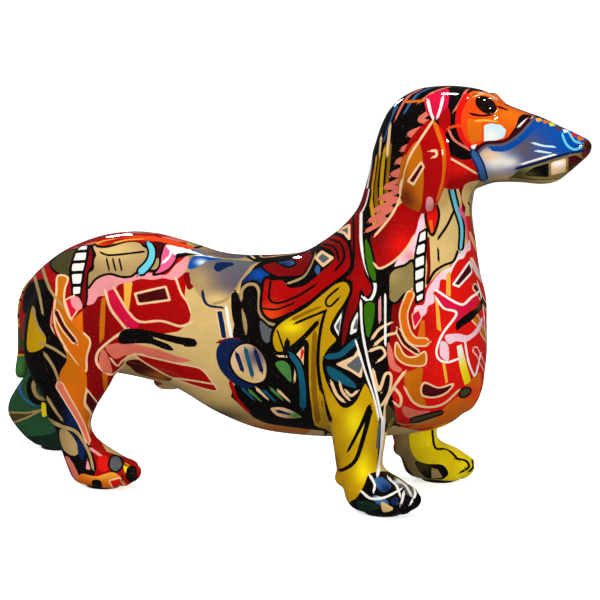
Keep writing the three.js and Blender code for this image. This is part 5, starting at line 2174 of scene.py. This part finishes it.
@dataclass(frozen=True)
class PaperSweep:
    """The pale paper that the figurine stands on."""

    def material(self, name: str) -> bpy.types.Material:
        """Builds the material under a name."""
        graph = Graph(name)
        shade = graph.noise(60.0, 3.0).over(0.3, 0.7)
        return graph.finish({
            "Base Color": graph.mix(shade, (0.9, 0.9, 0.9, 1), (0.93, 0.93, 0.93, 1)),
            "Roughness": 0.6 + 0.1 * shade,
            "Normal": graph.bump(graph.noise(1.2, 3.0), 0.02),
            "Emission Color": (1, 1, 1, 1),
            "Emission Strength": 0.55,
        })


@dataclass
class Pads:
    """The felt pads under the paws, one for each CAD pad."""

    names: tuple[str, ...] = ("right_fore_pad", "left_fore_pad", "right_hind_pad", "left_hind_pad")
    around: int = 72
    fuzz: float = 0.05

    def mesh(self, name: str, order: int) -> bpy.types.Mesh:
        """Presses an oval of felt with a soft edge.

        Args:
            name: The CAD pad that it stands for.
            order: Which pad it is, so that no two edges fray alike.

        Returns:
            The mesh.
        """
        low, high = (np.array(corner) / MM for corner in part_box(name))
        middle, half = (low + high) / 2, (high - low) / 2
        rounded = [(math.cos(a), math.sin(a)) for a in np.radians(np.linspace(90, -90, 13))]
        profile = [(0.3, half[2]), (0.6, half[2]), (0.85, half[2])]
        profile += [(1 - 0.5 * half[2] * (1 - c) / half[0], half[2] * s) for c, s in rounded]
        profile += [(0.85, -half[2]), (0.6, -half[2]), (0.3, -half[2])]
        fray = np.random.default_rng(order).normal(0, self.fuzz, (len(profile), self.around))
        points = [middle + (0, 0, half[2])]
        for row, (share, height) in enumerate(profile):
            for k in range(self.around):
                a = 2 * math.pi * k / self.around
                pull = 1 - abs(fray[row, k]) / half[0]
                across = np.array([math.cos(a) * half[0], math.sin(a) * half[1]]) * share * pull
                points.append(middle + (*across, height))
        points.append(middle - (0, 0, half[2]))
        faces = lathe_faces(len(profile), self.around, flip=True)
        return new_mesh(name, np.array(points), faces, smooth=True)


class Slot(Enum):
    """The record's material slots."""

    GLAZE = "printed_glaze"
    GLASS = "eye_glass"
    FELT = "pad_felt"


@dataclass
class Figurine:
    """The whole dog: castings, eyes and pads, each riding on the one body."""

    anatomy: Anatomy = field(default_factory=Anatomy)
    eyes: Eyes = field(default_factory=Eyes)
    pads: Pads = field(default_factory=Pads)
    art: Artwork = field(default_factory=Artwork)
    projector: Projector = field(default_factory=Projector)

    def install(self, piece: bpy.types.Object, node: str, slot: Slot, *materials: bpy.types.Material) -> None:
        """Dresses a piece and fixes it to the frame.

        Args:
            piece: The piece.
            node: The CAD node that it stands for.
            slot: The record's slot for its finish. Not used.
            *materials: Its materials.

        Returns:
            None.
        """
        for material in materials:
            piece.data.materials.append(material)
        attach(piece, "root")
        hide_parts(node)
        LOG.info("%s: %d faces", piece.name, len(piece.data.polygons))

    def film(self, name: str) -> Film:
        """Chooses the sheet that covers a casting.

        Args:
            name: The casting's name.

        Returns:
            Its film.
        """
        near = (Ink.SAND, self.art.near_side, 9)
        sheets = {
            "body_casting": (Ink.SAND, self.art.near_side, 28),
            "head_casting": (Ink.BLACK, self.art.near_side, 14),
            "right_ear": (Ink.RED, self.art.ear, 5),
            "left_ear": (Ink.RED, self.art.ear, 5),
            "tail": (Ink.MUSTARD, self.art.tail, 4),
            "left_hindleg": (Ink.SAND, self.art.far_hind_leg, 9),
            "left_foreleg": (Ink.SAND, self.art.far_foreleg, 9),
        }
        ink, marks, curl = sheets.get(name, near)
        return Film(ink, marks(), self.projector, curl)

    def cast(self) -> None:
        """Builds, prints and glazes the castings."""
        castings = Castings(self.anatomy, self.eyes)
        skin = castings.fuse()
        castings.sponge(skin)
        castings.carve(skin)
        owner = castings.divide(skin)
        clay = BareClay().material("bare_clay")
        lacquer = PrintedLacquer().material("printed_lacquer")
        for number, name in enumerate(("body_casting", "head_casting") + castings.limbs):
            piece = castings.piece(f"skin_{name}", skin, skin.faces[owner == number], self.film(name))
            self.install(piece, name, Slot.GLAZE, lacquer, clay)

    def set_eyes(self) -> None:
        """Makes the glass eyes."""
        glass = DarkGlass().material("dark_glass")
        for name, side in (("right_eye", RIGHT), ("left_eye", LEFT)):
            points, faces = self.eyes.mesh(side)
            mesh = new_mesh(name, points + (SHIFT_X, 0, 0), faces, smooth=True)
            self.install(new_object(f"glass_{name}", mesh), name, Slot.GLASS, glass)

    def stick_pads(self) -> None:
        """Makes the felt pads."""
        felt = WoolFelt().material("wool_felt")
        for order, name in enumerate(self.pads.names):
            pad = new_object(f"felt_{name}", self.pads.mesh(name, order))
            self.install(pad, name, Slot.FELT, felt)


@dataclass(frozen=True)
class Softbox:
    """A square light that looks at the dog, and may or may not show in its gloss."""

    name: str
    place: tuple[float, float, float]
    size: float
    power: float
    glints: bool = True

    def hang(self, target: Vector) -> None:
        """Hangs the light and points it at the target."""
        light = bpy.data.lights.new(self.name, "AREA")
        light.energy, light.size = self.power, self.size
        lamp = new_object(self.name, light)
        lamp.location = self.place
        lamp.visible_glossy = self.glints
        lamp.rotation_mode = "QUATERNION"
        lamp.rotation_quaternion = (target - Vector(self.place)).to_track_quat("-Z", "Y")


@dataclass
class Studio:
    """A white sweep, soft lights and the camera.

    The room shines on the dog with strength `glow` and shows in its gloss with strength `gloom`. The
    sweep is level out to `flat` and then rises by `rise`.
    """

    lens: float = 94.5
    sensor: float = 36.0
    glow: float = 0.34
    gloom: float = 0.07
    flat: float = 1600.0
    rise: float = 900.0
    steps: int = 64
    lights: tuple[Softbox, ...] = (
        Softbox("key", (-0.2, -0.95, 0.75), 0.3, 6.6, glints=False),
        Softbox("front", (0.95, -0.45, 0.45), 0.1, 3.8),
        Softbox("top", (0.0, 0.25, 1.0), 0.12, 2.4),
        Softbox("back", (-0.6, 0.9, 0.6), 0.12, 2.6),
    )

    def target(self) -> Vector:
        """The point that the camera and the lights look at."""
        return Vector((SHIFT_X, 0, MIDDLE_Z)) * MM

    def floor(self) -> None:
        """Lays the sweep that the pads stand on."""
        turns = np.linspace(0.1, math.pi / 2, 12)
        rings = [(self.flat, 0.0)]
        rings += [(self.flat + self.rise * math.sin(a), self.rise * (1 - math.cos(a))) for a in turns]
        points: list[tuple] = [(0, 0, 0)]
        for reach, z in rings:
            round_it = np.linspace(0, 2 * math.pi, self.steps, endpoint=False)
            points += [(reach * math.cos(a), reach * math.sin(a), z) for a in round_it]
        faces = [(0, 1 + k, 1 + (k + 1) % self.steps) for k in range(self.steps)]
        for base in range(1, 1 + (len(rings) - 1) * self.steps, self.steps):
            for k in range(self.steps):
                at, after = base + k, base + (k + 1) % self.steps
                out, beyond = at + self.steps, after + self.steps
                faces += [(at, out, beyond), (at, beyond, after)]
        sweep = new_object("sweep", new_mesh("sweep", np.array(points, float), faces))
        sweep.data.materials.append(PaperSweep().material("paper_sweep"))
        sweep.visible_glossy = sweep.visible_diffuse = False

    def world(self) -> None:
        """Fills the room with white light: full for the camera, soft on the dog, dim in its gloss."""
        room = bpy.data.worlds.new("room")
        room.use_nodes = True
        nodes, links = room.node_tree.nodes, room.node_tree.links
        ray = nodes.new("ShaderNodeLightPath").outputs
        soft, level = nodes.new("ShaderNodeMapRange"), nodes.new("ShaderNodeMapRange")
        soft.inputs["To Min"].default_value, soft.inputs["To Max"].default_value = self.glow, self.gloom
        level.inputs["To Max"].default_value = 1.0
        links.new(ray["Is Glossy Ray"], soft.inputs["Value"])
        links.new(ray["Is Camera Ray"], level.inputs["Value"])
        links.new(soft.outputs["Result"], level.inputs["To Min"])
        glow = nodes["Background"]
        glow.inputs["Color"].default_value = (1, 1, 1, 1)
        links.new(level.outputs["Result"], glow.inputs["Strength"])
        scene = bpy.context.scene
        scene.world = room
        scene.view_settings.view_transform = "Standard"
        scene.view_settings.look = "Medium High Contrast"

    def camera(self) -> None:
        """Places the camera."""
        back = Vector(bearing(AZIMUTH, ELEVATION))
        data = bpy.data.cameras.new("camera")
        data.lens, data.sensor_width = self.lens, self.sensor
        camera = new_object("camera", data)
        camera.location = self.target() + back * DISTANCE * MM
        camera.rotation_mode = "QUATERNION"
        camera.rotation_quaternion = (-back).to_track_quat("-Z", "Y")
        bpy.context.scene.camera = camera

    def build(self) -> None:
        """Sets everything up round the dog."""
        self.camera()
        self.floor()
        self.world()
        for light in self.lights:
            light.hang(self.target())


def main() -> None:
    """Builds the figurine and the studio."""
    logging.basicConfig(level=logging.INFO, format="%(message)s")
    Studio().build()
    dog = Figurine()
    dog.cast()
    dog.set_eyes()
    dog.stick_pads()


if __name__ == "__main__":
    main()
